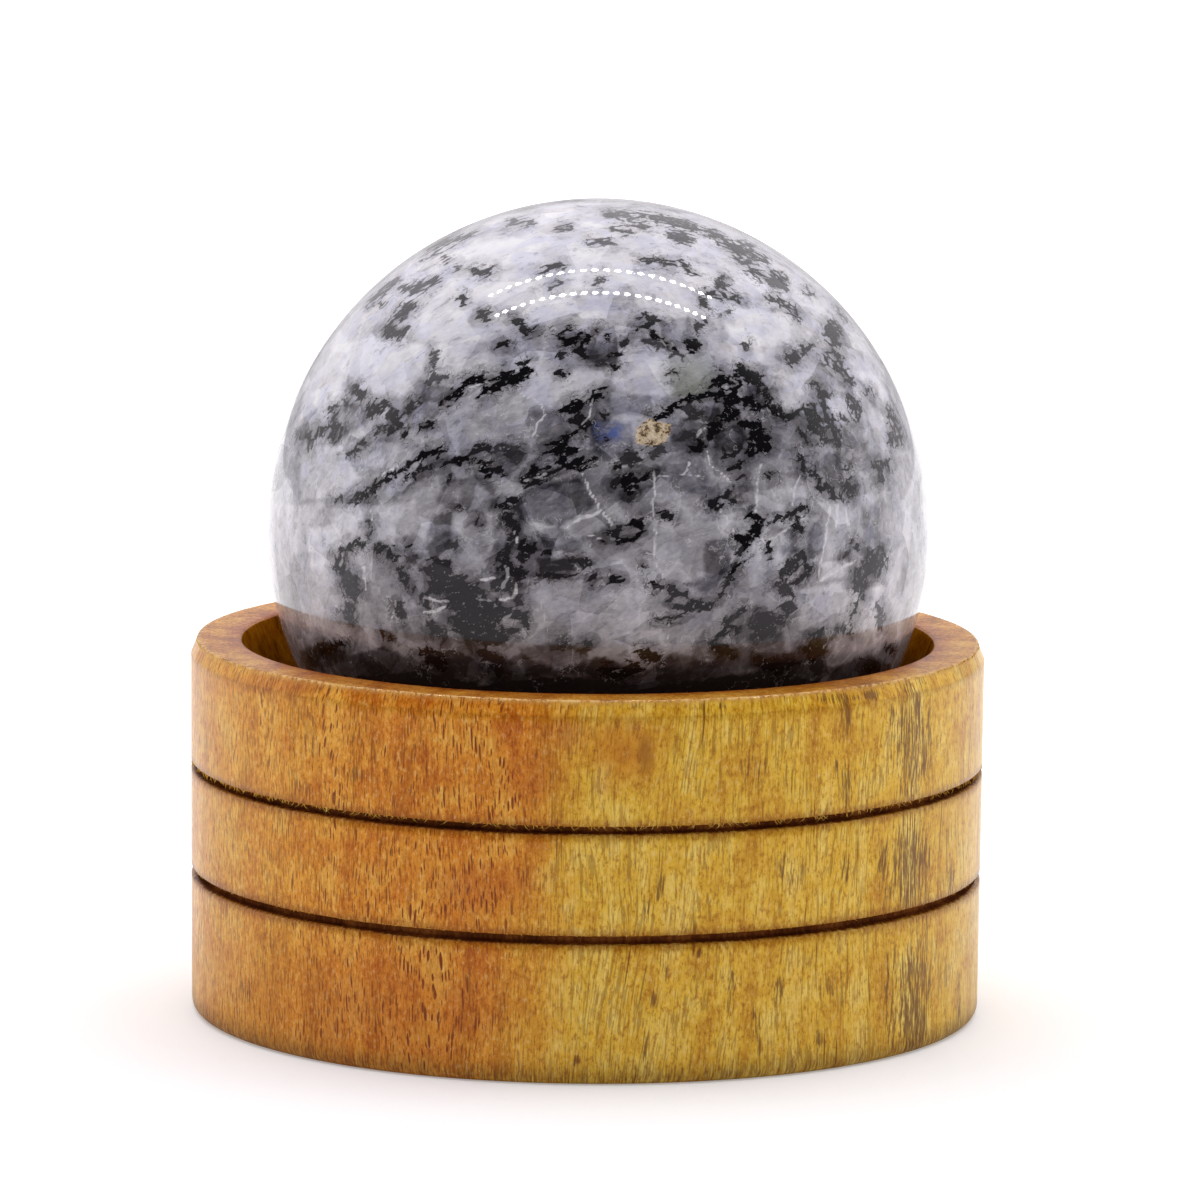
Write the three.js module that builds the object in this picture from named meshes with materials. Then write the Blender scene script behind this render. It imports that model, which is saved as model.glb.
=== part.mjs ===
// A polished stone ball lying in the dish of a turned wooden stand.
// Millimetres, +Z up. The origin is the centre of the stand's underside, and the
// side that shows most of the grain looks towards -Y.

import * as THREE from 'three';

// Ball: it lies on the dish's floor, a little to the +X side of the stand's axis.
const BALL_DIAMETER = 50;
const BALL_OFFSET = 0.7;
const BALL_BELOW_RIM = 16.7;

// Stand: a slightly tapered drum, with a chamfered rim and an eased foot.
const STAND_DIAMETER = 60;
const STAND_HEIGHT = 28.3;
const FOOT_DIAMETER = 59.7;
const FOOT_EDGE_RADIUS = 0.8;
const RIM_CHAMFER_WIDTH = 0.5;
const RIM_CHAMFER_HEIGHT = 1.2;

// Grooves: two burnt lines cut round the drum, measured at their middles.
const GROOVE_HEIGHTS = [10.7, 18.8];
const GROOVE_WIDTH = 1.3;
const GROOVE_DEPTH = 0.7;
const GROOVE_BOTTOM_WIDTH = 0.4;

// Dish: a small flat floor, then one hollow sweep up to the rim's inner edge.
const DISH_DIAMETER = 52.3;
const DISH_FLOOR_RADIUS = 4;
const DISH_EDGE_ROUNDING = 0.3;
const SEAT_GAP = 0.05;

// Smoothness of the round forms.
const BALL_SEGMENTS = 64;
const BALL_RINGS = 30;
const STAND_SEGMENTS = 88;
const DISH_STEPS = 10;
const EDGE_STEPS = 3;

const QUARTER_TURN = Math.PI / 2;

const stone = new THREE.MeshStandardMaterial({ color: '#a7a7b2', roughness: 0.12, metalness: 0 });
const wood = new THREE.MeshStandardMaterial({ color: '#b87f2c', roughness: 0.55, metalness: 0 });

// Points of an arc, both ends included. Angles are in radians from the outward direction.
function arcPoints(centreRadius, centreHeight, arcRadius, startAngle, endAngle, steps) {
  const points = [];
  for (let step = 0; step <= steps; step += 1) {
    const angle = startAngle + (endAngle - startAngle) * step / steps;
    points.push(new THREE.Vector2(
      centreRadius + arcRadius * Math.cos(angle),
      centreHeight + arcRadius * Math.sin(angle),
    ));
  }
  return points;
}

// Radius of the drum's side: it narrows evenly from the rim to the foot.
function drumRadius(height) {
  return THREE.MathUtils.lerp(FOOT_DIAMETER / 2, STAND_DIAMETER / 2, height / STAND_HEIGHT);
}

// The two walls and the narrow bottom of one groove, from below to above.
function groovePoints(middle) {
  const bottomRadius = drumRadius(middle) - GROOVE_DEPTH;
  const lowerLip = middle - GROOVE_WIDTH / 2;
  const upperLip = middle + GROOVE_WIDTH / 2;
  return [
    new THREE.Vector2(drumRadius(lowerLip), lowerLip),
    new THREE.Vector2(bottomRadius, middle - GROOVE_BOTTOM_WIDTH / 2),
    new THREE.Vector2(bottomRadius, middle + GROOVE_BOTTOM_WIDTH / 2),
    new THREE.Vector2(drumRadius(upperLip), upperLip),
  ];
}

// The dish from its rounded rim edge down to the flat floor. The sweep leaves the
// floor level and ends on the rim circle, which fixes its radius.
function dishPoints() {
  const rimRadius = DISH_DIAMETER / 2;
  const depth = BALL_BELOW_RIM + SEAT_GAP;
  const reach = rimRadius - DISH_FLOOR_RADIUS;
  const sweepRadius = (reach * reach + depth * depth) / (2 * depth);
  const sweepHeight = STAND_HEIGHT - depth + sweepRadius;
  const rimAngle = Math.atan2(-DISH_EDGE_ROUNDING - (sweepRadius - depth), reach);
  return [
    ...arcPoints(
      rimRadius + DISH_EDGE_ROUNDING, STAND_HEIGHT - DISH_EDGE_ROUNDING,
      DISH_EDGE_ROUNDING, QUARTER_TURN, 2 * QUARTER_TURN, EDGE_STEPS,
    ),
    ...arcPoints(
      DISH_FLOOR_RADIUS, sweepHeight, sweepRadius, rimAngle, -QUARTER_TURN, DISH_STEPS,
    ).slice(1),
    new THREE.Vector2(0, STAND_HEIGHT - depth),
  ];
}

// The stand's outline: underside, foot, side with its grooves, rim and dish.
function standProfile() {
  const footRadius = drumRadius(FOOT_EDGE_RADIUS);
  const chamferHeight = STAND_HEIGHT - RIM_CHAMFER_HEIGHT;
  return [
    new THREE.Vector2(0, 0),
    ...arcPoints(
      footRadius - FOOT_EDGE_RADIUS, FOOT_EDGE_RADIUS,
      FOOT_EDGE_RADIUS, -QUARTER_TURN, 0, EDGE_STEPS,
    ),
    ...GROOVE_HEIGHTS.flatMap(groovePoints),
    new THREE.Vector2(drumRadius(chamferHeight), chamferHeight),
    new THREE.Vector2(STAND_DIAMETER / 2 - RIM_CHAMFER_WIDTH, STAND_HEIGHT),
    ...dishPoints(),
  ];
}

function woodenStand() {
  const geometry = new THREE.LatheGeometry(standProfile(), STAND_SEGMENTS);
  geometry.rotateX(QUARTER_TURN);
  const mesh = new THREE.Mesh(geometry, wood);
  mesh.name = 'wooden_stand';
  return mesh;
}

function stoneBall() {
  const geometry = new THREE.SphereGeometry(BALL_DIAMETER / 2, BALL_SEGMENTS, BALL_RINGS);
  geometry.rotateX(QUARTER_TURN);
  const mesh = new THREE.Mesh(geometry, stone);
  mesh.name = 'stone_ball';
  mesh.position.set(BALL_OFFSET, 0, STAND_HEIGHT - BALL_BELOW_RIM + BALL_DIAMETER / 2);
  return mesh;
}

const ballOnStand = new THREE.Group();
ballOnStand.add(woodenStand(), stoneBall());

export default ballOnStand;
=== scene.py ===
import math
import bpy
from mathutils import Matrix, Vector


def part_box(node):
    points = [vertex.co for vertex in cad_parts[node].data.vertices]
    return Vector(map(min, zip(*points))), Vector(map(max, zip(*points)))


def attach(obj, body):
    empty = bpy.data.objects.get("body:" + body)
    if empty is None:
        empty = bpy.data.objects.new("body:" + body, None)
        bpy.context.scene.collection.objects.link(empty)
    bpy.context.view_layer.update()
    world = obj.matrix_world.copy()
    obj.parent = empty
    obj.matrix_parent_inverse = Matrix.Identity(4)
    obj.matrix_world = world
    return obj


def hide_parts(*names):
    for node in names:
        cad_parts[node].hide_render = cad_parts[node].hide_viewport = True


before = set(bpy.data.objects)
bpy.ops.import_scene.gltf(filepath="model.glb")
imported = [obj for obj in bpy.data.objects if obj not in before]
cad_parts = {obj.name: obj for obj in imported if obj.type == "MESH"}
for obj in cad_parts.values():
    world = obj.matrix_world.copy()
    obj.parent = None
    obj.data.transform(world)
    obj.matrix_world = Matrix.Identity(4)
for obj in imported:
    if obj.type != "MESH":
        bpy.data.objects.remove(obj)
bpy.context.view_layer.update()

# A polished stone ball lying in the dish of a turned wooden stand.
# Metres, +Z up, the photographed side towards -Y. Lengths whose name ends in _MM are in
# millimetres, and lengths whose name ends in _PX are in pixels of the 1200 by 1200 photograph.

from types import SimpleNamespace

import bpy
import numpy as np
from mathutils import Matrix, Vector, noise

MM = 0.001

# The photograph's camera: a long lens, a little above the rim, rolled by half a degree.
PHOTO_SIDE_PX = 1200
FOCAL_LENGTH_PX = 8505
CAMERA_DISTANCE = 0.643
CAMERA_ELEVATION = math.radians(8.59)
CAMERA_ROLL = math.radians(0.54)
CAMERA_AIM = Vector((0.00089, 0.0, 0.03121))
SENSOR_WIDTH = 36.0

# The ball, as the solid has it. Its mesh is a rounded cube, with so many cells along each edge,
# that is drawn finer towards the camera.
ball_low, ball_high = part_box("stone_ball")
BALL_CENTRE = (ball_low + ball_high) / 2
BALL_RADIUS = (ball_high.z - ball_low.z) / 2
BALL_CELLS = 128
BALL_FRONT_FINENESS = 1.5

# The stand, as the solid has it, with the finer profile of its grooves and edges.
stand_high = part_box("wooden_stand")[1]
STAND_HEIGHT_MM = stand_high.z / MM
STAND_RADIUS_MM = 29.995
FOOT_RADIUS_MM = 29.85
FOOT_EDGE_MM = 0.8
RIM_CHAMFER_WIDTH_MM = 0.5
RIM_CHAMFER_HEIGHT_MM = 1.2
RIM_RADIUS_MM = STAND_RADIUS_MM - RIM_CHAMFER_WIDTH_MM
DISH_RADIUS_MM = 26.15
DISH_FLOOR_RADIUS_MM = 4.0
SEAT_GAP_MM = 0.05
DISH_DEPTH_MM = STAND_HEIGHT_MM - ball_low.z / MM + SEAT_GAP_MM
DISH_EDGE_MM = 0.3
LOWER_GROOVE = {"middle": 10.7, "half_width": 0.44, "depth": 0.7}
UPPER_GROOVE = {"middle": 18.8, "half_width": 0.4, "depth": 0.7}
STAND_SEGMENTS = 640

# Noise at points: how far finer layers fade, and how much finer each layer is.
NOISE_FADE = 0.6
NOISE_FINER = 2.0


def camera_axes():
    """The camera's right, up and backward directions."""
    back = Vector((0.0, -math.cos(CAMERA_ELEVATION), math.sin(CAMERA_ELEVATION)))
    level_right = Vector((1.0, 0.0, 0.0))
    level_up = back.cross(level_right)
    right = level_right * math.cos(CAMERA_ROLL) + level_up * math.sin(CAMERA_ROLL)
    up = level_up * math.cos(CAMERA_ROLL) - level_right * math.sin(CAMERA_ROLL)
    return right, up, back


RIGHT, UP, BACK = camera_axes()
CAMERA_PLACE = CAMERA_AIM + BACK * CAMERA_DISTANCE


def photo_points(places):
    """Where points of the scene show in the photograph, in its pixels."""
    away = places - np.array(CAMERA_PLACE)
    depth = -away @ np.array(BACK)
    across = FOCAL_LENGTH_PX * (away @ np.array(RIGHT)) / depth
    down = -FOCAL_LENGTH_PX * (away @ np.array(UP)) / depth
    return np.stack([across, down], 1) + PHOTO_SIDE_PX / 2


def facing_camera(places, normals):
    """Cosine of the angle between each normal and the way to the camera."""
    towards = np.array(CAMERA_PLACE) - places
    towards /= np.linalg.norm(towards, axis=1)[:, None]
    return np.einsum("ij,ij->i", normals, towards)


def smoothstep(low, high, value):
    """0 on low's side, 1 on high's side, smooth between them."""
    t = np.clip((value - low) / (high - low), 0.0, 1.0)
    return t * t * (3.0 - 2.0 * t)


def noise_at(places, size, octaves):
    """Fractal noise from about -1 to 1 at points given in the same unit as its size."""
    return np.array([noise.fractal(Vector(p) / size, NOISE_FADE, NOISE_FINER, octaves) for p in places])


def make_mesh(name, places, faces, attributes):
    """A smooth mesh object, with one number at each point for every attribute."""
    mesh = bpy.data.meshes.new(name)
    mesh.from_pydata(places.tolist(), [], faces)
    mesh.update()
    mesh.polygons.foreach_set("use_smooth", np.ones(len(mesh.polygons), bool))
    for key, values in attributes.items():
        layer = mesh.attributes.new(key, "FLOAT", "POINT")
        layer.data.foreach_set("value", np.asarray(values, np.float32))
    piece = bpy.data.objects.new(name, mesh)
    bpy.context.scene.collection.objects.link(piece)
    return piece


# Dark mineral veins on the photographed side of the ball. Each stroke is its half width in
# pixels, how black it is, and the points it runs through, in pixels. Less black strokes partly
# paint the veil of mirrored light over black veins, most in the upper left and top.
VEINS = {
    "upper left": [
        (4, 0.55, [(477, 226), (440, 247), (420, 258)]),
        (4, 0.5, [(400, 279), (385, 287), (366, 305)]),
        (4, 0.6, [(398, 288), (412, 291), (426, 284), (440, 279)]),
        (6, 0.7, [(413, 303), (404, 312), (396, 318)]),
        (6, 0.7, [(393, 322), (389, 331), (398, 333), (406, 327)]),
        (2, 0.7, [(382, 303), (384, 306)]),
        (4, 0.8, [(472, 273), (482, 272), (493, 269)]),
        (6, 0.85, [(461, 299), (466, 300)]),
        (5, 0.8, [(476, 318), (484, 315), (491, 314)]),
        (2, 0.6, [(443, 261), (449, 259)]),
        (2, 0.6, [(455, 270), (458, 268)]),
        (5, 0.6, [(427, 383), (434, 378), (444, 377)]),
        (2, 0.6, [(436, 350), (434, 362), (432, 368)]),
        (4, 0.95, [(441, 406), (450, 399), (458, 392), (467, 384), (480, 380), (496, 379)]),
        (3, 0.95, [(479, 398), (488, 391), (500, 385)]),
        (4, 0.8, [(333, 405), (334, 418), (337, 430)]),
        (3, 0.7, [(345, 405), (349, 401)]),
        (5, 0.8, [(356, 387), (359, 393), (361, 397)]),
        (6, 0.9, [(370, 417), (374, 409), (386, 403)]),
        (6, 0.85, [(388, 411), (395, 419), (399, 427)]),
        (4, 0.8, [(403, 413), (412, 405), (421, 397)]),
        (3, 0.9, [(420, 429), (427, 427), (432, 423)]),
        (3, 0.9, [(297, 434), (309, 436), (319, 434), (326, 426)]),
        (2, 0.8, [(308, 438), (311, 445), (309, 450)]),
    ],
    "top": [
        (3, 0.5, [(507, 223), (520, 222), (534, 222)]),
        (2, 0.5, [(556, 229), (570, 226)]),
        (2, 0.55, [(588, 242), (600, 242), (615, 243)]),
        (3, 0.8, [(540, 272), (548, 268), (556, 266), (562, 266)]),
        (3, 0.55, [(605, 214), (622, 216), (642, 215)]),
        (4, 0.7, [(640, 213), (660, 219), (680, 224), (702, 231)]),
        (3, 0.6, [(612, 230), (626, 231), (634, 226), (650, 224)]),
        (5, 0.65, [(668, 233), (680, 238), (693, 239)]),
        (3, 0.85, [(640, 257), (654, 262), (668, 264), (680, 264), (690, 269), (697, 273)]),
        (4, 0.6, [(593, 284), (603, 280)]),
        (2, 0.6, [(550, 287), (562, 284)]),
        (4, 0.7, [(702, 231), (716, 234), (726, 243), (737, 249), (750, 253), (768, 262)]),
        (2, 0.6, [(738, 242), (751, 246), (761, 244)]),
        (2, 0.6, [(735, 256), (744, 262), (756, 266)]),
        (3, 0.75, [(748, 269), (757, 273), (766, 279)]),
        (3, 0.8, [(770, 272), (780, 277), (787, 286)]),
        (5, 0.5, [(768, 279), (778, 284), (786, 289)]),
        (4, 0.7, [(718, 278), (724, 283), (719, 289)]),
        (3, 0.85, [(706, 290), (717, 296), (729, 297), (739, 301)]),
        (4, 0.8, [(702, 301), (708, 306)]),
        (3, 0.75, [(766, 297), (780, 301), (790, 308), (801, 319)]),
        (1.5, 0.6, [(804, 288), (812, 293)]),
        (2, 0.6, [(724, 316), (730, 311)]),
    ],
    "upper middle": [
        (3, 0.9, [(513, 318), (521, 325), (527, 333), (541, 331)]),
        (3, 0.95, [(554, 331), (568, 329)]),
        (5, 1.0, [(557, 336), (566, 342), (580, 340), (590, 337)]),
        (4, 0.9, [(570, 346), (580, 352), (588, 358)]),
        (4, 0.7, [(588, 356), (600, 362), (604, 366)]),
        (3, 0.85, [(593, 332), (599, 329)]),
        (3, 0.9, [(606, 338), (609, 336)]),
        (4, 0.95, [(498, 346), (504, 344), (508, 346)]),
        (3, 0.9, [(520, 364), (527, 361)]),
        (6, 1.0, [(484, 393), (495, 386), (506, 378), (518, 377), (529, 370)]),
        (3, 0.9, [(556, 375), (565, 373)]),
        (2, 0.85, [(556, 357), (564, 354)]),
        (2, 0.8, [(620, 346), (627, 342)]),
        (3, 0.9, [(611, 357), (620, 356)]),
        (2, 0.9, [(612, 363), (619, 368)]),
        (3, 0.9, [(635, 338), (640, 330), (648, 325), (656, 322), (663, 326)]),
        (2, 0.85, [(640, 319), (655, 318)]),
        (2.5, 1.0, [(641, 331), (652, 336), (661, 341), (669, 348), (679, 352)]),
        (6, 1.0, [(684, 348), (692, 346), (698, 347)]),
        (4, 0.6, [(640, 338), (655, 342), (668, 350), (684, 357)]),
        (3, 0.8, [(697, 331), (701, 322), (706, 322)]),
        (2.5, 0.85, [(669, 374), (677, 373)]),
        (3, 0.95, [(606, 388), (597, 395), (586, 401)]),
        (6, 0.95, [(584, 403), (573, 408), (564, 412)]),
        (6, 0.9, [(568, 419), (580, 420), (590, 426)]),
        (2, 0.85, [(599, 415), (607, 418)]),
        (2.5, 1.0, [(656, 418), (666, 412), (676, 406), (686, 401)]),
        (4, 1.0, [(686, 399), (694, 396), (704, 396), (716, 396)]),
        (7, 0.7, [(684, 408), (694, 412), (690, 420)]),
        (3, 0.95, [(711, 386), (717, 380), (721, 372)]),
    ],
    "right": [
        (7, 0.75, [(831, 322), (833, 334), (835, 346)]),
        (4, 0.55, [(840, 305), (846, 314), (853, 321)]),
        (6, 0.8, [(788, 353), (795, 359), (799, 356)]),
        (4, 0.75, [(796, 352), (806, 350), (812, 345)]),
        (2, 0.75, [(744, 343), (747, 348)]),
        (6, 1.0, [(741, 368), (746, 376), (756, 379), (760, 386)]),
        (4, 1.0, [(720, 373), (724, 381), (735, 385), (741, 391)]),
        (5, 1.0, [(704, 394), (716, 395), (728, 396), (736, 402)]),
        (6, 1.0, [(726, 404), (731, 413), (725, 419)]),
        (6, 1.0, [(742, 397), (752, 404), (762, 406)]),
        (3, 1.0, [(764, 405), (774, 408), (781, 414), (790, 417), (800, 411)]),
        (4, 1.0, [(763, 388), (768, 396), (765, 405)]),
        (7, 1.0, [(804, 409), (812, 411), (816, 420), (813, 432)]),
        (4, 0.85, [(815, 385), (821, 393), (829, 395)]),
        (3, 0.8, [(822, 357), (834, 364), (842, 372), (853, 383)]),
        (2, 0.75, [(826, 350), (838, 356), (843, 366)]),
        (4, 0.75, [(849, 395), (854, 406), (857, 419)]),
        (2, 0.7, [(866, 389), (872, 395)]),
        (3, 0.85, [(888, 409), (893, 418), (897, 430), (901, 441)]),
        (4, 0.85, [(821, 402), (826, 415), (836, 430), (840, 444)]),
        (2, 0.75, [(840, 415), (847, 420)]),
        (10, 1.0, [(754, 430), (760, 440), (766, 449)]),
        (6, 1.0, [(748, 446), (752, 456)]),
        (4, 0.95, [(741, 424), (752, 424), (764, 426)]),
        (3, 0.85, [(717, 450), (726, 456), (736, 452), (744, 446)]),
        (3, 0.9, [(726, 467), (735, 466), (745, 464)]),
        (2, 0.8, [(738, 479), (744, 476)]),
        (2, 0.8, [(766, 477), (772, 475)]),
        (3, 0.85, [(733, 489), (726, 495), (735, 501)]),
        (5, 0.95, [(747, 517), (757, 519), (756, 529), (748, 539)]),
        (3, 0.95, [(736, 535), (744, 542), (747, 550)]),
        (2, 0.85, [(765, 521), (776, 519), (787, 518)]),
        (3, 0.85, [(790, 514), (798, 511), (806, 510)]),
        (5, 0.85, [(797, 520), (800, 530)]),
        (1.5, 0.9, [(769, 542), (769, 558)]),
        (4, 0.85, [(812, 422), (822, 434), (836, 444)]),
        (4, 0.8, [(799, 460), (806, 468), (815, 477)]),
        (5, 0.85, [(818, 489), (826, 487), (834, 496)]),
        (3, 0.85, [(843, 462), (848, 470)]),
        (5, 0.9, [(848, 480), (850, 490), (846, 499)]),
        (3, 0.85, [(853, 541), (857, 549)]),
        (3, 0.85, [(844, 556), (850, 554)]),
        (9, 0.72, [(870, 552), (872, 563), (866, 575)]),
        (6, 0.7, [(858, 570), (861, 582), (858, 594)]),
        (2, 0.8, [(862, 596), (856, 607), (852, 621)]),
        (4, 0.7, [(880, 546), (882, 560), (879, 576)]),
        (4, 0.75, [(872, 464), (884, 467), (889, 462)]),
        (3, 0.7, [(880, 472), (882, 482)]),
        (4, 0.75, [(890, 436), (896, 445)]),
        (2, 0.85, [(838, 629), (851, 631)]),
        (3, 0.5, [(876, 604), (880, 616), (881, 628)]),
    ],
    "middle left": [
        (6, 0.85, [(333, 424), (335, 432), (331, 440)]),
        (1.8, 0.9, [(345, 457), (356, 450), (366, 442), (374, 436)]),
        (3, 0.9, [(374, 434), (384, 431), (396, 431)]),
        (5, 0.9, [(401, 431), (406, 436)]),
        (1.5, 0.8, [(335, 503), (341, 498), (350, 499)]),
        (5, 0.95, [(352, 502), (360, 498), (367, 493)]),
        (4, 0.9, [(368, 491), (376, 486), (383, 481)]),
        (2, 0.9, [(385, 480), (395, 473), (405, 466), (415, 461)]),
        (4, 0.95, [(415, 461), (421, 455), (431, 452)]),
        (2, 0.95, [(431, 452), (441, 450), (445, 445)]),
        (3, 0.85, [(418, 472), (426, 466), (432, 463)]),
        (3, 0.9, [(438, 457), (446, 462), (454, 463)]),
        (4, 0.95, [(453, 462), (465, 460), (476, 457)]),
        (3, 0.85, [(470, 454), (482, 449), (490, 448)]),
        (4, 0.95, [(480, 463), (485, 471), (492, 479)]),
        (1.5, 0.85, [(450, 475), (452, 483)]),
        (1.2, 0.8, [(450, 504), (458, 507)]),
        (2, 0.8, [(475, 520), (480, 523)]),
        (3, 1.0, [(340, 551), (350, 547), (359, 544), (366, 544)]),
        (5, 0.85, [(339, 556), (342, 566), (344, 576)]),
        (9, 0.68, [(347, 572), (351, 586), (354, 598)]),
        (6, 0.65, [(350, 602), (348, 614), (352, 622)]),
        (4, 1.0, [(374, 546), (383, 550), (392, 554), (400, 557)]),
        (3, 0.85, [(396, 560), (401, 571), (406, 581), (413, 591)]),
        (2, 0.85, [(407, 540), (411, 547)]),
        (4, 0.6, [(444, 547), (455, 545)]),
        (3, 0.7, [(408, 558), (416, 556)]),
        (2, 0.6, [(369, 520), (370, 536)]),
        (5, 0.7, [(397, 603), (401, 612), (400, 620)]),
        (3, 0.9, [(381, 633), (391, 638)]),
    ],
    "middle": [
        (6, 1.0, [(558, 461), (572, 464), (586, 463), (594, 459)]),
        (3, 0.95, [(541, 451), (553, 447), (566, 440), (577, 432), (586, 424)]),
        (2.5, 0.9, [(524, 477), (538, 474), (552, 471), (563, 468)]),
        (4, 0.75, [(500, 447), (512, 452), (522, 452)]),
        (4, 0.9, [(487, 464), (498, 470), (505, 474)]),
        (2.5, 0.9, [(521, 486), (536, 482), (549, 476)]),
        (5, 0.9, [(498, 505), (508, 503), (515, 500)]),
        (4, 0.85, [(506, 514), (513, 525), (516, 534)]),
        (5, 0.9, [(521, 541), (526, 549), (530, 552)]),
        (2.5, 0.9, [(530, 547), (540, 548), (550, 553)]),
        (3, 0.85, [(519, 560), (529, 554)]),
        (2, 0.85, [(538, 576), (560, 575), (578, 574)]),
        (4, 0.85, [(590, 579), (597, 581)]),
        (2, 0.9, [(598, 578), (611, 579), (622, 580)]),
        (5, 0.8, [(570, 557), (578, 561), (588, 565)]),
        (5, 0.85, [(604, 536), (614, 532), (624, 529)]),
        (4, 0.95, [(628, 527), (637, 525), (646, 521)]),
        (2.5, 0.95, [(602, 541), (620, 539), (636, 535), (644, 532)]),
        (7, 1.0, [(622, 481), (630, 482), (638, 479)]),
        (4, 1.0, [(638, 477), (646, 474), (654, 470)]),
        (4, 1.0, [(628, 488), (629, 496)]),
        (6, 0.75, [(622, 456), (632, 458), (641, 462)]),
        (4, 0.6, [(645, 454), (656, 451), (668, 447)]),
        (5, 0.7, [(676, 440), (686, 436), (696, 432)]),
        (4, 1.0, [(690, 450), (699, 446), (706, 439)]),
        (4, 1.0, [(706, 438), (713, 431), (721, 424)]),
        (2.5, 0.9, [(603, 437), (605, 438)]),
        (2.5, 0.9, [(659, 513), (666, 516), (673, 517)]),
        (4, 0.9, [(708, 501), (716, 504), (721, 506)]),
        (3, 0.9, [(643, 560), (644, 566)]),
        (3, 0.9, [(652, 584), (661, 588)]),
        (5, 0.85, [(668, 590), (678, 594), (686, 600)]),
        (4, 0.85, [(668, 601), (682, 606), (700, 606), (716, 603)]),
        (2, 0.85, [(656, 619), (668, 619), (681, 615)]),
        (2.5, 0.85, [(612, 489), (618, 480)]),
    ],
    "lower": [
        (10, 0.8, [(426, 568), (441, 568), (452, 574)]),
        (12, 0.8, [(432, 582), (456, 588), (480, 592)]),
        (14, 0.8, [(450, 602), (476, 608), (502, 612)]),
        (14, 0.8, [(454, 620), (478, 630), (502, 640)]),
        (6, 0.72, [(430, 622), (438, 632), (444, 640)]),
        (7, 0.8, [(493, 586), (506, 583), (520, 586)]),
        (7, 0.85, [(493, 572), (504, 566), (516, 572), (528, 572)]),
        (5, 0.8, [(513, 597), (522, 604)]),
        (6, 0.75, [(506, 610), (520, 616), (526, 624)]),
        (4, 0.75, [(504, 628), (518, 633)]),
        (3, 0.8, [(585, 640), (590, 644), (578, 650)]),
        (2.5, 0.8, [(560, 645), (572, 646)]),
        (3, 0.95, [(741, 561), (733, 572), (727, 585), (718, 598)]),
        (5, 0.85, [(803, 553), (795, 564), (785, 572), (774, 580)]),
        (3, 0.9, [(804, 556), (808, 568), (801, 577), (791, 586)]),
        (6, 0.75, [(776, 585), (786, 590), (793, 596)]),
        (8, 0.7, [(786, 602), (789, 613)]),
        (12, 0.7, [(758, 612), (764, 626), (760, 636)]),
        (7, 0.7, [(774, 618), (780, 624)]),
        (11, 0.8, [(814, 636), (820, 640)]),
        (11, 0.95, [(806, 652), (822, 650)]),
        (3, 0.8, [(744, 608), (736, 617), (726, 622)]),
        (4, 0.9, [(739, 628), (726, 632), (714, 638)]),
        (6, 0.9, [(712, 643), (720, 650), (736, 656)]),
        (8, 0.9, [(756, 660), (776, 666), (796, 664)]),
        (5, 0.9, [(636, 652), (650, 656), (664, 662)]),
        (7, 0.9, [(600, 668), (620, 672), (640, 668)]),
        (7, 0.9, [(420, 652), (436, 660), (444, 668)]),
        (5, 0.9, [(345, 642), (330, 648), (318, 654)]),
        (6, 0.85, [(480, 650), (496, 662), (500, 676)]),
        (5, 0.9, [(864, 664), (872, 668), (880, 667)]),
        (3, 0.85, [(886, 647), (893, 651)]),
    ],
    "fine branches": [
        (2, 0.85, [(402, 482), (412, 477), (425, 470)]),
        (1.8, 0.95, [(522, 480), (530, 472), (542, 465), (550, 467)]),
        (5, 1.0, [(553, 449), (566, 452), (578, 452)]),
        (3, 0.6, [(495, 450), (510, 447), (520, 455), (512, 465)]),
        (2, 0.95, [(717, 386), (722, 380), (720, 370)]),
        (2, 0.9, [(708, 392), (720, 382), (733, 378)]),
        (4, 1.0, [(741, 366), (737, 387), (727, 405), (722, 420), (712, 430), (704, 438)]),
        (4, 1.0, [(747, 375), (759, 377), (760, 390)]),
        (2, 0.95, [(735, 453), (747, 450)]),
        (1.8, 0.85, [(719, 449), (735, 453)]),
        (1.8, 0.9, [(800, 430), (807, 440), (820, 445)]),
        (3, 0.9, [(815, 430), (824, 433), (832, 430), (839, 447)]),
        (2, 0.85, [(797, 455), (807, 465), (817, 475), (820, 485), (832, 492), (847, 500)]),
        (2, 0.9, [(617, 464), (619, 478)]),
        (2, 0.85, [(604, 539), (617, 531), (630, 527), (645, 517)]),
        (1.8, 0.8, [(430, 586), (424, 598), (428, 612)]),
        (2, 0.8, [(512, 534), (508, 548), (498, 560)]),
        (1.8, 0.8, [(742, 547), (738, 558), (728, 574)]),
    ],
}
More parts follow.
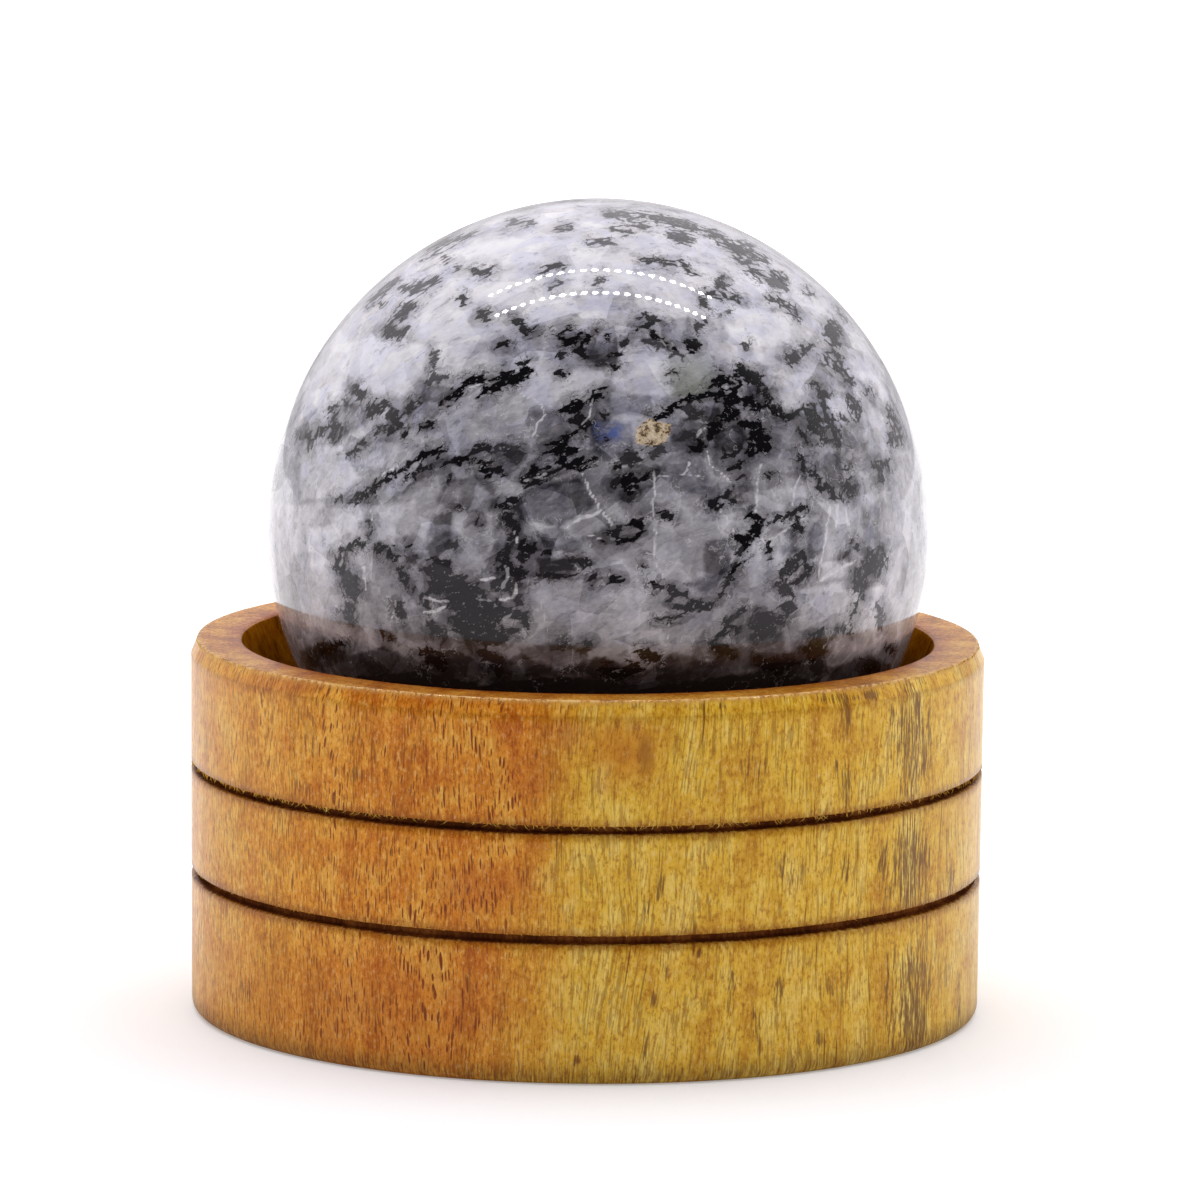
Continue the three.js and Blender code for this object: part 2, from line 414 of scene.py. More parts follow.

# Feldspar crystals of the photographed side: lightness against the mean, bluishness, and
# corners, in pixels. Five darker ones along the foot are painted shade where the ball sits
# in the dish.
CRYSTALS = [
    (0.25, 0.1, [(352, 342), (395, 335), (430, 350), (420, 378), (398, 398), (352, 388), (340, 366)]),
    (0.3, 0.0, [(306, 368), (340, 330), (352, 345), (340, 392), (300, 420)]),
    (0.05, 0.0, [(415, 300), (455, 282), (470, 300), (468, 330), (430, 345), (412, 322)]),
    (0.12, 0.0, [(440, 250), (500, 238), (540, 240), (545, 262), (480, 266), (430, 272)]),
    (-0.25, 0.6, [(343, 405), (364, 402), (367, 422), (345, 436)]),
    (-0.1, 0.5, [(402, 412), (424, 400), (440, 410), (430, 424), (404, 428)]),
    (-0.35, 0.3, [(424, 386), (446, 386), (460, 392), (440, 404), (420, 400)]),
    (-0.1, 0.4, [(346, 456), (376, 438), (398, 434), (408, 446), (390, 470), (360, 478)]),
    (0.3, 0.0, [(302, 445), (342, 446), (358, 478), (342, 496), (300, 500)]),
    (0.2, -0.1, [(284, 505), (362, 502), (366, 542), (338, 548), (290, 555)]),
    (0.1, 0.1, [(300, 560), (333, 560), (338, 600), (344, 622), (300, 612)]),
    (0.12, 0.0, [(376, 506), (432, 486), (440, 516), (428, 548), (372, 542)]),
    (-0.25, 0.1, [(446, 480), (488, 474), (498, 500), (486, 514), (452, 512), (436, 500)]),
    (-0.45, 0.2, [(434, 514), (452, 512), (452, 540), (434, 562), (424, 545)]),
    (-0.1, -0.1, [(404, 560), (430, 552), (428, 580), (412, 586)]),
    (0.0, 0.1, [(454, 560), (478, 548), (492, 560), (480, 582), (456, 578)]),
    (-0.1, 0.4, [(470, 540), (500, 528), (506, 550), (486, 562)]),
    (-0.12, 0.2, [(470, 345), (505, 335), (525, 352), (515, 372), (478, 374), (466, 360)]),
    (0.05, 0.3, [(528, 346), (560, 344), (566, 358), (540, 366), (526, 360)]),
    (0.12, -0.1, [(532, 372), (600, 372), (612, 384), (580, 404), (545, 410), (526, 392)]),
    (-0.15, 0.0, [(480, 402), (528, 396), (540, 412), (520, 440), (486, 432), (470, 418)]),
    (-0.15, -0.2, [(528, 412), (560, 410), (548, 436), (520, 444)]),
    (-0.25, 0.3, [(588, 344), (616, 340), (618, 362), (604, 368), (586, 362)]),
    (0.22, 0.1, [(620, 348), (660, 346), (690, 362), (672, 392), (640, 396), (612, 386)]),
    (-0.2, 0.4, [(606, 398), (650, 394), (676, 400), (650, 416), (612, 416)]),
    (-0.25, 0.8, [(592, 420), (632, 422), (634, 452), (604, 462), (590, 446)]),
    (-0.1, -0.2, [(660, 372), (704, 362), (712, 384), (690, 396), (664, 392)]),
    (-0.42, 0.4, [(524, 490), (578, 476), (596, 506), (560, 526), (520, 520), (514, 506)]),
    (-0.12, 0.1, [(580, 474), (612, 478), (622, 500), (610, 524), (598, 508)]),
    (-0.08, 0.0, [(566, 530), (600, 514), (612, 528), (600, 538), (584, 544)]),
    (-0.3, 0.3, [(532, 532), (560, 526), (584, 546), (572, 552), (546, 548)]),
    (-0.55, 0.0, [(536, 558), (568, 558), (576, 570), (540, 572)]),
    (0.05, 0.0, [(604, 548), (640, 542), (646, 576), (620, 580), (612, 570)]),
    (-0.1, 0.1, [(594, 552), (610, 558), (612, 574), (590, 572)]),
    (-0.05, 0.0, [(656, 524), (700, 506), (722, 514), (728, 546), (704, 578), (664, 580), (654, 552)]),
    (-0.1, 0.2, [(656, 466), (706, 462), (716, 494), (664, 504)]),
    (-0.35, 0.5, [(704, 542), (734, 536), (728, 572), (706, 594), (684, 584), (704, 578)]),
    (-0.08, 0.1, [(528, 588), (656, 584), (662, 604), (658, 646), (570, 650), (526, 624)]),
    (-0.1, 0.2, [(672, 618), (712, 612), (704, 640), (668, 644)]),
    (-0.35, 0.2, [(716, 430), (740, 424), (748, 440), (732, 454), (712, 448)]),
    (-0.35, 0.1, [(700, 406), (720, 408), (718, 424), (702, 426)]),
    (-0.4, 0.7, [(746, 386), (758, 384), (760, 398), (748, 398)]),
    (0.22, 0.0, [(726, 306), (790, 316), (790, 344), (744, 348), (724, 330)]),
    (0.1, 0.0, [(772, 372), (808, 372), (812, 400), (788, 412), (770, 394)]),
    (0.2, 0.0, [(740, 268), (768, 284), (762, 298), (730, 294)]),
    (0.05, 0.0, [(796, 292), (826, 300), (824, 340), (802, 330)]),
    (0.0, -0.3, [(758, 462), (794, 458), (792, 508), (760, 514), (754, 490)]),
    (-0.25, -0.1, [(738, 484), (754, 484), (756, 512), (738, 510)]),
    (-0.45, 0.3, [(822, 456), (840, 452), (846, 492), (826, 484)]),
    (-0.25, 0.7, [(784, 530), (798, 524), (798, 552), (782, 556)]),
    (-0.25, 0.8, [(808, 532), (822, 514), (824, 552), (808, 560)]),
    (0.15, 0.0, [(828, 506), (852, 502), (852, 546), (826, 560)]),
    (-0.2, 0.5, [(862, 506), (880, 506), (880, 536), (864, 544)]),
    (0.3, 0.0, [(820, 562), (848, 560), (846, 576), (822, 580)]),
    (0.2, 0.2, [(796, 590), (846, 582), (844, 624), (800, 630)]),
    (0.3, 0.0, [(846, 590), (862, 586), (852, 626), (840, 628)]),
    (-0.1, 0.1, [(740, 560), (770, 548), (776, 570), (748, 596), (732, 592)]),
    (-0.2, 0.1, [(844, 424), (862, 420), (866, 450), (846, 452)]),
    (0.2, 0.0, [(868, 400), (886, 420), (890, 460), (868, 450)]),
    (0.18, 0.0, [(878, 380), (902, 420), (915, 480), (908, 560), (886, 600), (884, 500)]),
    (-0.08, 0.1, [
        (690, 398), (728, 368), (776, 386), (824, 400), (842, 440), (790, 452), (736, 466), (688, 446),
    ]),
    (0.0, 0.2, [
        (404, 446), (470, 440), (540, 440), (596, 410), (612, 450), (560, 480), (480, 486), (420, 476),
    ]),
    (-0.2, 0.0, [
        (490, 500), (520, 504), (540, 552), (600, 530), (640, 520), (630, 548), (560, 580), (496, 576),
    ]),
    (-0.15, 0.1, [(556, 332), (604, 326), (640, 330), (600, 372), (560, 366)]),
    (-0.3, 0.0, [(618, 490), (654, 484), (656, 512), (624, 518)]),
    (-0.25, 0.3, [(570, 290), (630, 285), (640, 310), (580, 312)]),
    (-0.3, 0.2, [(660, 320), (690, 316), (694, 348), (664, 350)]),
    (-0.2, 0.0, [(398, 612), (430, 606), (436, 640), (404, 642)]),
    (-0.15, 0.0, [(344, 548), (372, 550), (370, 574), (346, 572)]),
    (0.2, 0.0, [(856, 590), (884, 584), (876, 630), (852, 634)]),
    (0.15, 0.0, [(772, 488), (808, 486), (806, 520), (780, 528)]),
    (0.2, 0.0, [(410, 346), (446, 344), (450, 378), (424, 384)]),
    (0.18, 0.1, [(338, 434), (400, 430), (460, 434), (458, 456), (400, 470), (342, 462)]),
    (0.15, 0.0, [(356, 508), (416, 500), (414, 536), (360, 544)]),
    (0.25, 0.0, [(728, 326), (758, 328), (764, 362), (736, 364)]),
    (0.22, 0.1, [(766, 396), (806, 384), (848, 388), (858, 422), (834, 432), (800, 410), (772, 416)]),
    (0.12, 0.1, [(650, 398), (674, 396), (676, 424), (654, 426)]),
    (0.15, 0.0, [(660, 508), (692, 506), (694, 530), (662, 532)]),
    (0.15, 0.0, [(716, 440), (742, 446), (744, 500), (722, 502)]),
    (0.15, 0.0, [(796, 500), (830, 498), (828, 546), (800, 550)]),
    (0.15, 0.0, [(756, 536), (790, 534), (788, 566), (760, 568)]),
    (0.12, 0.0, [(636, 612), (740, 606), (738, 634), (640, 642)]),
    (0.12, 0.0, [(600, 570), (630, 568), (632, 596), (602, 598)]),
    (0.1, 0.0, [(762, 280), (792, 284), (796, 310), (766, 306)]),
    (-0.2, 0.1, [(662, 412), (702, 424), (708, 490), (656, 494), (650, 476), (676, 450)]),
    (-0.15, 0.1, [(556, 518), (594, 516), (598, 540), (562, 542)]),
    (-0.15, 0.1, [(448, 540), (478, 516), (506, 520), (484, 552), (462, 572)]),
    (-0.12, 0.0, [(424, 590), (460, 580), (540, 586), (520, 606), (446, 622)]),
    (-0.12, 0.2, [(508, 328), (540, 322), (544, 352), (514, 352)]),
    (0.12, 0.1, [(338, 440), (398, 444), (400, 492), (342, 500)]),
    (0.15, 0.0, [(436, 474), (460, 476), (462, 506), (438, 508)]),
    (0.15, 0.0, [(392, 392), (420, 388), (424, 424), (398, 428)]),
    (0.12, 0.0, [(454, 352), (528, 356), (530, 376), (458, 378)]),
    (0.12, 0.0, [(860, 604), (884, 600), (878, 634), (858, 636)]),
    (0.12, 0.0, [(498, 548), (520, 546), (522, 566), (500, 568)]),
    (0.12, 0.0, [(532, 540), (560, 538), (564, 572), (536, 574)]),
    (0.12, 0.1, [(790, 404), (826, 396), (862, 400), (870, 440), (840, 436)]),
    (0.12, 0.0, [(720, 520), (800, 514), (840, 520), (836, 566), (770, 572), (726, 556)]),
    (0.3, 0.0, [(880, 556), (902, 548), (900, 640), (874, 654), (870, 610)]),
    (0.22, 0.0, [(844, 370), (880, 374), (890, 400), (856, 400)]),
    (0.2, 0.0, [(856, 462), (884, 458), (886, 500), (862, 502)]),
    (0.25, 0.0, [(306, 528), (340, 524), (344, 562), (310, 568)]),
    (0.25, 0.0, [(310, 394), (344, 376), (352, 396), (322, 422)]),
    (0.25, 0.0, [(624, 632), (662, 628), (666, 652), (630, 658)]),
    (0.15, 0.0, [(320, 606), (346, 602), (348, 642), (324, 644)]),
    # Painted shade: these five darken the foot, where the ball sits in the dish.
    (-0.3, 0.0, [(518, 648), (560, 642), (588, 650), (584, 674), (526, 676)]),
    (-0.25, 0.0, [(436, 638), (480, 632), (486, 660), (444, 664)]),
    (-0.25, 0.0, [(688, 642), (722, 638), (724, 666), (694, 668)]),
    (-0.3, 0.0, [(746, 636), (784, 632), (786, 662), (752, 666)]),
    (-0.2, 0.0, [(814, 640), (854, 634), (852, 660), (820, 664)]),
    (-0.15, 0.2, [(476, 226), (520, 220), (524, 238), (480, 244)]),
    (-0.15, 0.2, [(572, 206), (612, 204), (614, 220), (576, 222)]),
    (-0.15, 0.2, [(628, 322), (654, 320), (656, 356), (632, 360)]),
    (-0.15, 0.1, [(576, 404), (598, 402), (600, 444), (580, 446)]),
    (-0.15, 0.1, [(770, 528), (796, 526), (798, 552), (774, 554)]),
    (0.12, 0.0, [(650, 392), (672, 388), (674, 422), (654, 426)]),
]

# Painted shade at the foot of the photographed side, where the ball sits in the dish, given
# like the crystals.
PAINTED_FOOT_SHADE = [
    (-0.45, -0.3, [
        (300, 652), (328, 642), (352, 656), (384, 646), (418, 664), (452, 648), (488, 668),
        (520, 654), (556, 670), (598, 656), (640, 674), (676, 652), (708, 664), (742, 644),
        (772, 660), (802, 646), (832, 668), (864, 656), (892, 664), (880, 720), (300, 720),
    ]),
    (-0.5, -0.3, [
        (340, 680), (420, 672), (480, 686), (560, 676), (640, 690), (760, 672), (860, 690),
        (860, 730), (340, 730),
    ]),
]

# Pale cleavage cracks of the photographed side: half width in pixels, strength, points in pixels.
CRACKS = [
    (1.5, 0.7, [(582, 474), (590, 492), (600, 508), (612, 524)]),
    (1.5, 0.6, [(566, 528), (574, 522), (590, 516), (600, 512)]),
    (1.2, 0.6, [(586, 534), (596, 538), (602, 538)]),
    (2.0, 0.5, [(652, 500), (656, 530), (654, 560), (664, 578)]),
    (1.5, 0.5, [(655, 470), (654, 500)]),
    (1.5, 0.5, [(792, 506), (796, 482), (800, 476)]),
    (1.5, 0.5, [(756, 512), (757, 490), (760, 464)]),
    (1.5, 0.5, [(818, 576), (824, 548), (830, 506)]),
    (1.5, 0.6, [(838, 504), (836, 528)]),
    (1.5, 0.6, [(846, 504), (848, 526)]),
    (1.5, 0.5, [(820, 580), (846, 566), (862, 556)]),
    (1.5, 0.6, [(340, 566), (343, 560)]),
    (1.2, 0.6, [(392, 618), (396, 602)]),
    (1.2, 0.6, [(363, 566), (366, 590)]),
    (1.5, 0.7, [(424, 598), (436, 600), (448, 602)]),
    (1.5, 0.7, [(422, 612), (434, 612), (446, 607)]),
    (1.5, 0.8, [(506, 566), (508, 576), (502, 588)]),
    (1.5, 0.8, [(516, 584), (514, 598), (500, 600)]),
    (1.5, 0.7, [(482, 580), (494, 578)]),
    (1.5, 0.7, [(476, 600), (490, 600)]),
    (1.2, 0.8, [(502, 620), (512, 614)]),
    (1.2, 0.7, [(467, 389), (480, 385), (490, 383)]),
    (1.2, 0.7, [(482, 396), (490, 392)]),
    (1.2, 0.8, [(514, 532), (518, 544)]),
    (1.2, 0.8, [(524, 480), (538, 478), (546, 474)]),
    (1.2, 0.6, [(533, 436), (538, 422), (546, 414)]),
    (1.2, 0.7, [(696, 436), (704, 428)]),
    (1.2, 0.7, [(661, 342), (668, 348)]),
    (1.2, 0.7, [(583, 424), (590, 414), (592, 398)]),
    (1.2, 0.6, [(380, 478), (390, 470), (404, 464)]),
    (1.5, 0.5, [(348, 510), (358, 500)]),
    (2.0, 0.5, [(345, 380), (354, 350), (364, 318)]),
    (1.5, 0.5, [(445, 350), (462, 342), (480, 336)]),
    (1.5, 0.5, [(668, 622), (668, 640)]),
    (1.5, 0.4, [(622, 590), (636, 604), (640, 616)]),
    (1.5, 0.4, [(540, 600), (548, 632), (552, 642)]),
    (1.2, 0.5, [(684, 476), (690, 462)]),
    (1.2, 0.6, [(707, 450), (710, 465), (720, 472), (730, 482)]),
    (1.2, 0.6, [(717, 505), (727, 520), (735, 535)]),
    (1.2, 0.5, [(655, 477), (682, 474), (705, 476)]),
    (1.2, 0.5, [(765, 542), (775, 537), (790, 527)]),
    (1.2, 0.5, [(370, 505), (372, 520), (370, 532)]),
    (1.2, 0.6, [(517, 392), (527, 397), (542, 405), (545, 415)]),
]

# Single tinted spots: middle and half sizes, in pixels.
TAN_SPOT = ((653, 433), (19, 13))
BLUE_FLASH = ((609, 431), (15, 10))
GREEN_TINGE = ((690, 378), (26, 22))

# How the marks are drawn: pixels to a millimetre on the ball, how far a vein's field reaches and
# how black it is beyond, the size of the noise that shifts the edges of veins and crystals and how
# far it does, how soft a crystal's edge is, how much wider than drawn a crack fades out, and a
# stroke's width at its ends and what its middle adds.
PX_PER_MM = 13.2
VEIN_REACH_MM = 2.5
BLACK_BEYOND = 0.8
WANDER_SIZE_PX = 9.0
VEIN_WANDER_PX = 1.6
CRYSTAL_WANDER_PX = 1.3
CRYSTAL_EDGE_PX = 1.8
CRACK_SPREAD = 1.7
STROKE_END = 0.3
STROKE_SWELL = 0.72

# The stone is paler towards its top, painted light from above, and a little darker from its
# middle down, painted shade. It is also bluer towards its top. Each gives the change, and the
# heights between which it comes in, in pixels from the photograph's top.
PAINTED_TOP_LIGHT = (0.48, 420, 250)
PAINTED_LOWER_SHADE = (0.09, 370, 460)
BLUE_TOP = (0.4, 560, 360)

# The side away from the photograph repeats the marks under a half turn about this axis. Where a
# side's surface turns away, between two cosines, the marks give way to noise.
HALF_TURN_AXIS = Vector((0.55, 0.12, 0.83)).normalized()
MARKS_FADE = (0.08, 0.26)
FILLER = {"size_mm": 6.0, "strength_mm": 1.6, "lowered_mm": 0.9}


def nearest_places(points, line):
    """For every straight stretch of a polyline: how far along it, from 0 to 1, each point's
    nearest place lies, and the distance to that place."""
    line = np.asarray(line, float)
    for start, end in zip(line[:-1], line[1:]):
        along = end - start
        t = np.clip((points - start) @ along / max(along @ along, 1e-9), 0.0, 1.0)
        yield t, np.hypot(*(points - start - t[:, None] * along).T)


def line_distances(points, line):
    """Distance from each point to an open polyline, in the same units."""
    return np.min([distance for _, distance in nearest_places(points, line)], axis=0)


def stroke_depths(points, line, half_width):
    """How far inside a stroke each point lies. The stroke narrows towards its two ends."""
    lengths = np.hypot(*np.diff(np.asarray(line, float), axis=0).T)
    run = np.concatenate([[0.0], np.cumsum(lengths)]) / max(lengths.sum(), 1e-9)
    depth = np.full(len(points), -np.inf)
    for k, (t, distance) in enumerate(nearest_places(points, line)):
        place = np.clip(run[k] + t * (run[k + 1] - run[k]), 0.0, 1.0)
        width = half_width * (STROKE_END + STROKE_SWELL * np.sqrt(np.sin(math.pi * place)))
        depth = np.maximum(depth, width - distance)
    return depth


def inside_distances(points, corners):
    """Signed distance to a closed outline, positive inside it."""
    corners = np.asarray(corners, float)
    ring = np.vstack([corners, corners[:1]])
    inside = np.zeros(len(points), bool)
    for (x0, y0), (x1, y1) in zip(ring[:-1], ring[1:]):
        crosses = (points[:, 1] < y0) != (points[:, 1] < y1)
        if y0 != y1:
            at = x0 + (points[:, 1] - y0) * (x1 - x0) / (y1 - y0)
            inside ^= crosses & (points[:, 0] < at)
    distance = line_distances(points, ring)
    return np.where(inside, distance, -distance)


def cube_sphere(cells):
    """Points on a unit sphere and its square faces, evenly spread, with no poles."""
    steps = np.tan(np.linspace(-math.pi / 4, math.pi / 4, cells + 1))
    u, v = np.meshgrid(steps, steps, indexing="ij")
    one = np.ones_like(u)
    sides = [
        (one, u, v), (-one, -u, v), (-u, one, v), (u, -one, v), (v, u, -one), (-v, u, one),
    ]
    corner = np.arange((cells + 1) ** 2).reshape(cells + 1, cells + 1)
    square = np.stack([corner[:-1, :-1], corner[1:, :-1], corner[1:, 1:], corner[:-1, 1:]], -1)
    places = np.vstack([np.stack(side, -1).reshape(-1, 3) for side in sides])
    places /= np.linalg.norm(places, axis=1)[:, None]
    faces = np.vstack([square.reshape(-1, 4) + k * (cells + 1) ** 2 for k in range(len(sides))])
    _, first, which = np.unique(np.round(places, 6), axis=0, return_index=True, return_inverse=True)
    return places[first], which.reshape(-1)[faces]


def finer_towards(directions, axis, fineness):
    """Draw points of a unit sphere together towards an axis, as a lens would, with no cell skewed."""
    axis = np.array(axis)
    along = directions @ axis
    across = directions - along[:, None] * axis
    wide = np.linalg.norm(across, axis=1)
    angle = 2.0 * np.arctan(np.tan(np.arctan2(wide, along) / 2.0) / fineness)
    across /= np.maximum(wide, 1e-12)[:, None]
    return np.cos(angle)[:, None] * axis + np.sin(angle)[:, None] * across


def painted_side(spots, ahead):
    """The listed marks at points of the photograph: veins, tones, tints and cracks.
    Ahead is true at points that the photograph shows, and false at those of the other side."""
    count = len(spots)
    # Ragged lines: the points are shifted by two layers of noise before they are measured.
    shift = np.stack([
        noise_at(np.c_[spots / WANDER_SIZE_PX, np.full(count, layer)], 1.0, 3) for layer in (3, 40)
    ], 1)
    moved = spots + VEIN_WANDER_PX * shift
    vein = np.full(count, -VEIN_REACH_MM * PX_PER_MM)
    shade = np.full(count, BLACK_BEYOND)
    for strokes in VEINS.values():
        for half_width, black, line in strokes:
            depth = stroke_depths(moved, line, half_width)
            deeper = depth > vein
            vein = np.where(deeper, depth, vein)
            shade = np.where(deeper, black, shade)
    # Painted light makes the top paler, painted shade the lower half darker; the blue is a tint.
    painted_top_light, painted_lower_shade, blue = [
        change * smoothstep(start, end, spots[:, 1])
        for change, start, end in (PAINTED_TOP_LIGHT, PAINTED_LOWER_SHADE, BLUE_TOP)
    ]
    tone = painted_top_light - painted_lower_shade
    wandered = spots + CRYSTAL_WANDER_PX * shift
    # The foot's painted shade lies on the photographed side only.
    for crystals, present in ((CRYSTALS, 1.0), (PAINTED_FOOT_SHADE, ahead)):
        for light, bluish, corners in crystals:
            depth = inside_distances(wandered, corners)
            inside = smoothstep(-CRYSTAL_EDGE_PX, CRYSTAL_EDGE_PX, depth) * present
            tone += inside * light
            blue += inside * bluish
    crack = np.zeros(count)
    for half_width, strength, line in CRACKS:
        near = line_distances(moved, line) / (CRACK_SPREAD * half_width)
        crack = np.maximum(crack, strength * np.clip(1.0 - near, 0.0, 1.0))
    return {"vein": vein / PX_PER_MM, "shade": shade, "tone": tone, "blue": blue, "crack": crack}


def spot_at(spots, mark):
    """1 in the middle of a single mark, 0 outside it."""
    (x, y), (wide, high) = mark
    return smoothstep(1.5, 0.5, np.hypot((spots[:, 0] - x) / wide, (spots[:, 1] - y) / high))


def ball_marks(normals):
    """Every pattern value of the ball, at points given by their outward directions."""
    centre = np.array(BALL_CENTRE)
    places = centre + normals * BALL_RADIUS
    ahead = facing_camera(places, normals) > 0.0
    half_turn = np.array(Matrix.Rotation(math.pi, 3, HALF_TURN_AXIS))
    seen = np.where(ahead[:, None], normals, normals @ half_turn.T)
    seen_places = centre + seen * BALL_RADIUS
    spots = photo_points(seen_places)
    marks = painted_side(spots, ahead)
    weight = smoothstep(*MARKS_FADE, facing_camera(seen_places, seen))
    filler = FILLER["strength_mm"] * noise_at(places / MM, FILLER["size_mm"], 4) - FILLER["lowered_mm"]
    marks["vein"] = marks["vein"] * weight + filler * (1.0 - weight)
    for key in ("tone", "blue", "crack"):
        marks[key] = marks[key] * weight
    for key, mark in (("tan", TAN_SPOT), ("flash", BLUE_FLASH), ("green", GREEN_TINGE)):
        marks[key] = spot_at(spots, mark) * ahead
    return marks


# Ranges that values come in: most of a noise, and all of a share or of a cell's own number.
NOISE = (0.3, 0.7)
SHARE = (0.0, 1.0)


class Nodes:
    """Short calls for building a node tree. Sizes of patterns are in millimetres."""

    def __init__(self, tree):
        self.tree = tree

    def put(self, value, socket):
        if isinstance(value, bpy.types.NodeSocket):
            self.tree.links.new(value, socket)
        else:
            socket.default_value = value

    def node(self, kind, settings=None, **inputs):
        made = self.tree.nodes.new(kind)
        for key, value in (settings or {}).items():
            setattr(made, key, value)
        for key, value in inputs.items():
            self.put(value, made.inputs[key])
        return made

    def math(self, operation, a, b=0.0, clamp=False):
        made = self.node("ShaderNodeMath", {"operation": operation, "use_clamp": clamp})
        self.put(a, made.inputs[0])
        self.put(b, made.inputs[1])
        return made.outputs[0]

    def times(self, a, b):
        return self.math("MULTIPLY", a, b)

    def add(self, *values, clamp=False):
        """The sum of two or more values, held between 0 and 1 if it is clamped."""
        total = values[0]
        for value in values[1:-1]:
            total = self.math("ADD", total, value)
        return self.math("ADD", total, values[-1], clamp)

    def map_range(self, settings, values):
        made = self.node("ShaderNodeMapRange", settings)
        for socket, value in zip(made.inputs, values):
            self.put(value, socket)
        return made.outputs[0]

    def step(self, value, low, high, start=0.0, end=1.0):
        """Start on low's side, end on high's side, smooth between them."""
        return self.map_range({"interpolation_type": "SMOOTHSTEP"}, (value, low, high, start, end))

    def span(self, value, between, start, end):
        """A straight change from one range to another, not clamped."""
        return self.map_range({"clamp": False}, (value, *between, start, end))

    def vector(self, operation, a, b):
        made = self.node("ShaderNodeVectorMath", {"operation": operation})
        self.put(a, made.inputs[0])
        self.put(b, made.inputs["Scale" if operation == "SCALE" else 1])
        return made.outputs["Value" if operation == "LENGTH" else "Vector"]

    def mix(self, factor, a, b, blend="MIX"):
        """One colour over another."""
        made = self.node("ShaderNodeMix", {"data_type": "RGBA", "blend_type": blend})
        self.put(factor, made.inputs[0])
        self.put(a, made.inputs[6])
        self.put(b, made.inputs[7])
        return made.outputs[2]

    def paint(self, under, amount, strength, colour, blend="MIX"):
        """One colour over another, by an amount times a strength."""
        return self.mix(self.times(amount, strength), under, colour, blend)

    def choose(self, factor, usual, special):
        """A plain number between two others."""
        made = self.node("ShaderNodeMix")
        self.put(factor, made.inputs[0])
        self.put(usual, made.inputs[2])
        self.put(special, made.inputs[3])
        return made.outputs[0]

    def ramp(self, value, *stops):
        made = self.node("ShaderNodeValToRGB", Fac=value)
        bands = made.color_ramp.elements
        while len(bands) < len(stops):
            bands.new(0.5)
        for band, (place, colour) in zip(bands, stops):
            band.position = place
            band.color = srgb(*colour)
        return made.outputs["Color"]

    def attribute(self, name):
        return self.node("ShaderNodeAttribute", {"attribute_name": name}).outputs["Fac"]

    def place(self):
        return self.node("ShaderNodeTexCoord").outputs["Object"]

    def split(self, vector):
        return self.node("ShaderNodeSeparateXYZ", None, Vector=vector).outputs

    def noise(self, vector, size, detail, rough=0.55, dimensions="3D", output="Fac"):
        made = self.node(
            "ShaderNodeTexNoise", {"noise_dimensions": dimensions},
            Vector=vector, Scale=1.0 / (size * MM), Detail=detail, Roughness=rough,
        )
        return made.outputs[output]

    def shaken(self, vector, place, size, detail, reach):
        """A vector shifted by the noise at a place."""
        shift = self.noise(place, size, detail, output="Color")
        shift = self.vector("SUBTRACT", shift, (0.5, 0.5, 0.5))
        return self.vector("ADD", vector, self.vector("SCALE", shift, reach * MM))

    def voronoi(self, vector, size, dimensions="3D", feature="F1"):
        made = self.node(
            "ShaderNodeTexVoronoi", {"voronoi_dimensions": dimensions, "feature": feature},
            Vector=vector, Scale=1.0 / (size * MM),
        )
        return made.outputs

    def first(self, colour):
        """The red channel of a colour, as a plain number."""
        return self.node("ShaderNodeSeparateColor", None, Color=colour).outputs["Red"]

    def cells(self, vector, size):
        """A number of its own for each of many cells."""
        return self.first(self.voronoi(vector, size)["Color"])


def new_material(name):
    """A material, the calls for building its nodes, and the sockets of its surface."""
    material = bpy.data.materials.new(name)
    material.use_nodes = True
    tree = material.node_tree
    return material, Nodes(tree), tree.nodes["Principled BSDF"].inputs


def srgb(red, green, blue):
    """A colour given as it looks on screen, from 0 to 255, as linear values with alpha."""
    values = [c / 255 for c in (red, green, blue)]
    return (*[c / 12.92 if c <= 0.04045 else ((c + 0.055) / 1.055) ** 2.4 for c in values], 1.0)


# The stone's splinters run up to the right across the photographed side. They are drawn out by
# squeezing the pattern's first axis.
SPLINTER_ANGLE = math.radians(24)
SPLINTER_SQUEEZE = (0.45, 1.0, 1.0)
SLENDER_SQUEEZE = (0.28, 1.0, 1.0)
STONE_REFRACTION = 1.47


def stone_patterns(g):
    """The cells and noises that the stone is made of, and the drawn values."""
    place = g.place()
    bent = g.shaken(place, place, 2.6, 2.0, 0.8)
    about_y = {"rotation_type": "Y_AXIS"}
    turned = g.node("ShaderNodeVectorRotate", about_y, Vector=bent, Angle=SPLINTER_ANGLE).outputs[0]
    splinters = g.vector("MULTIPLY", turned, SPLINTER_SQUEEZE)
    slender = g.vector("MULTIPLY", turned, SLENDER_SQUEEZE)
    jagged = g.shaken(splinters, place, 0.5, 3.0, 0.5)
    return SimpleNamespace(
        own=g.cells(bent, 3.2),
        shard=g.cells(splinters, 0.62),
        facet=g.cells(bent, 1.5),
        clouds=g.noise(place, 2.0, 4.0, 0.6),
        grain=g.noise(splinters, 0.26, 3.0, 0.7),
        ragged=g.noise(splinters, 0.9, 5.0, 0.78),
        freckles=g.noise(splinters, 0.7, 4.0, 0.72),
        streak=g.noise(slender, 0.3, 3.0, 0.7),
        threads=g.noise(bent, 1.5, 3.0, 0.65),
        crumbs=g.noise(place, 0.4, 3.0, 0.7),
        border=g.voronoi(jagged, 0.85, feature="DISTANCE_TO_EDGE")["Distance"],
        field=g.attribute("vein"),
    )


def thread_lines(g, threads, level, half_width):
    """Thin winding lines where the thread noise crosses a level."""
    off = g.math("ABSOLUTE", g.math("SUBTRACT", threads, level))
    return g.step(off, half_width, 0.4 * half_width)


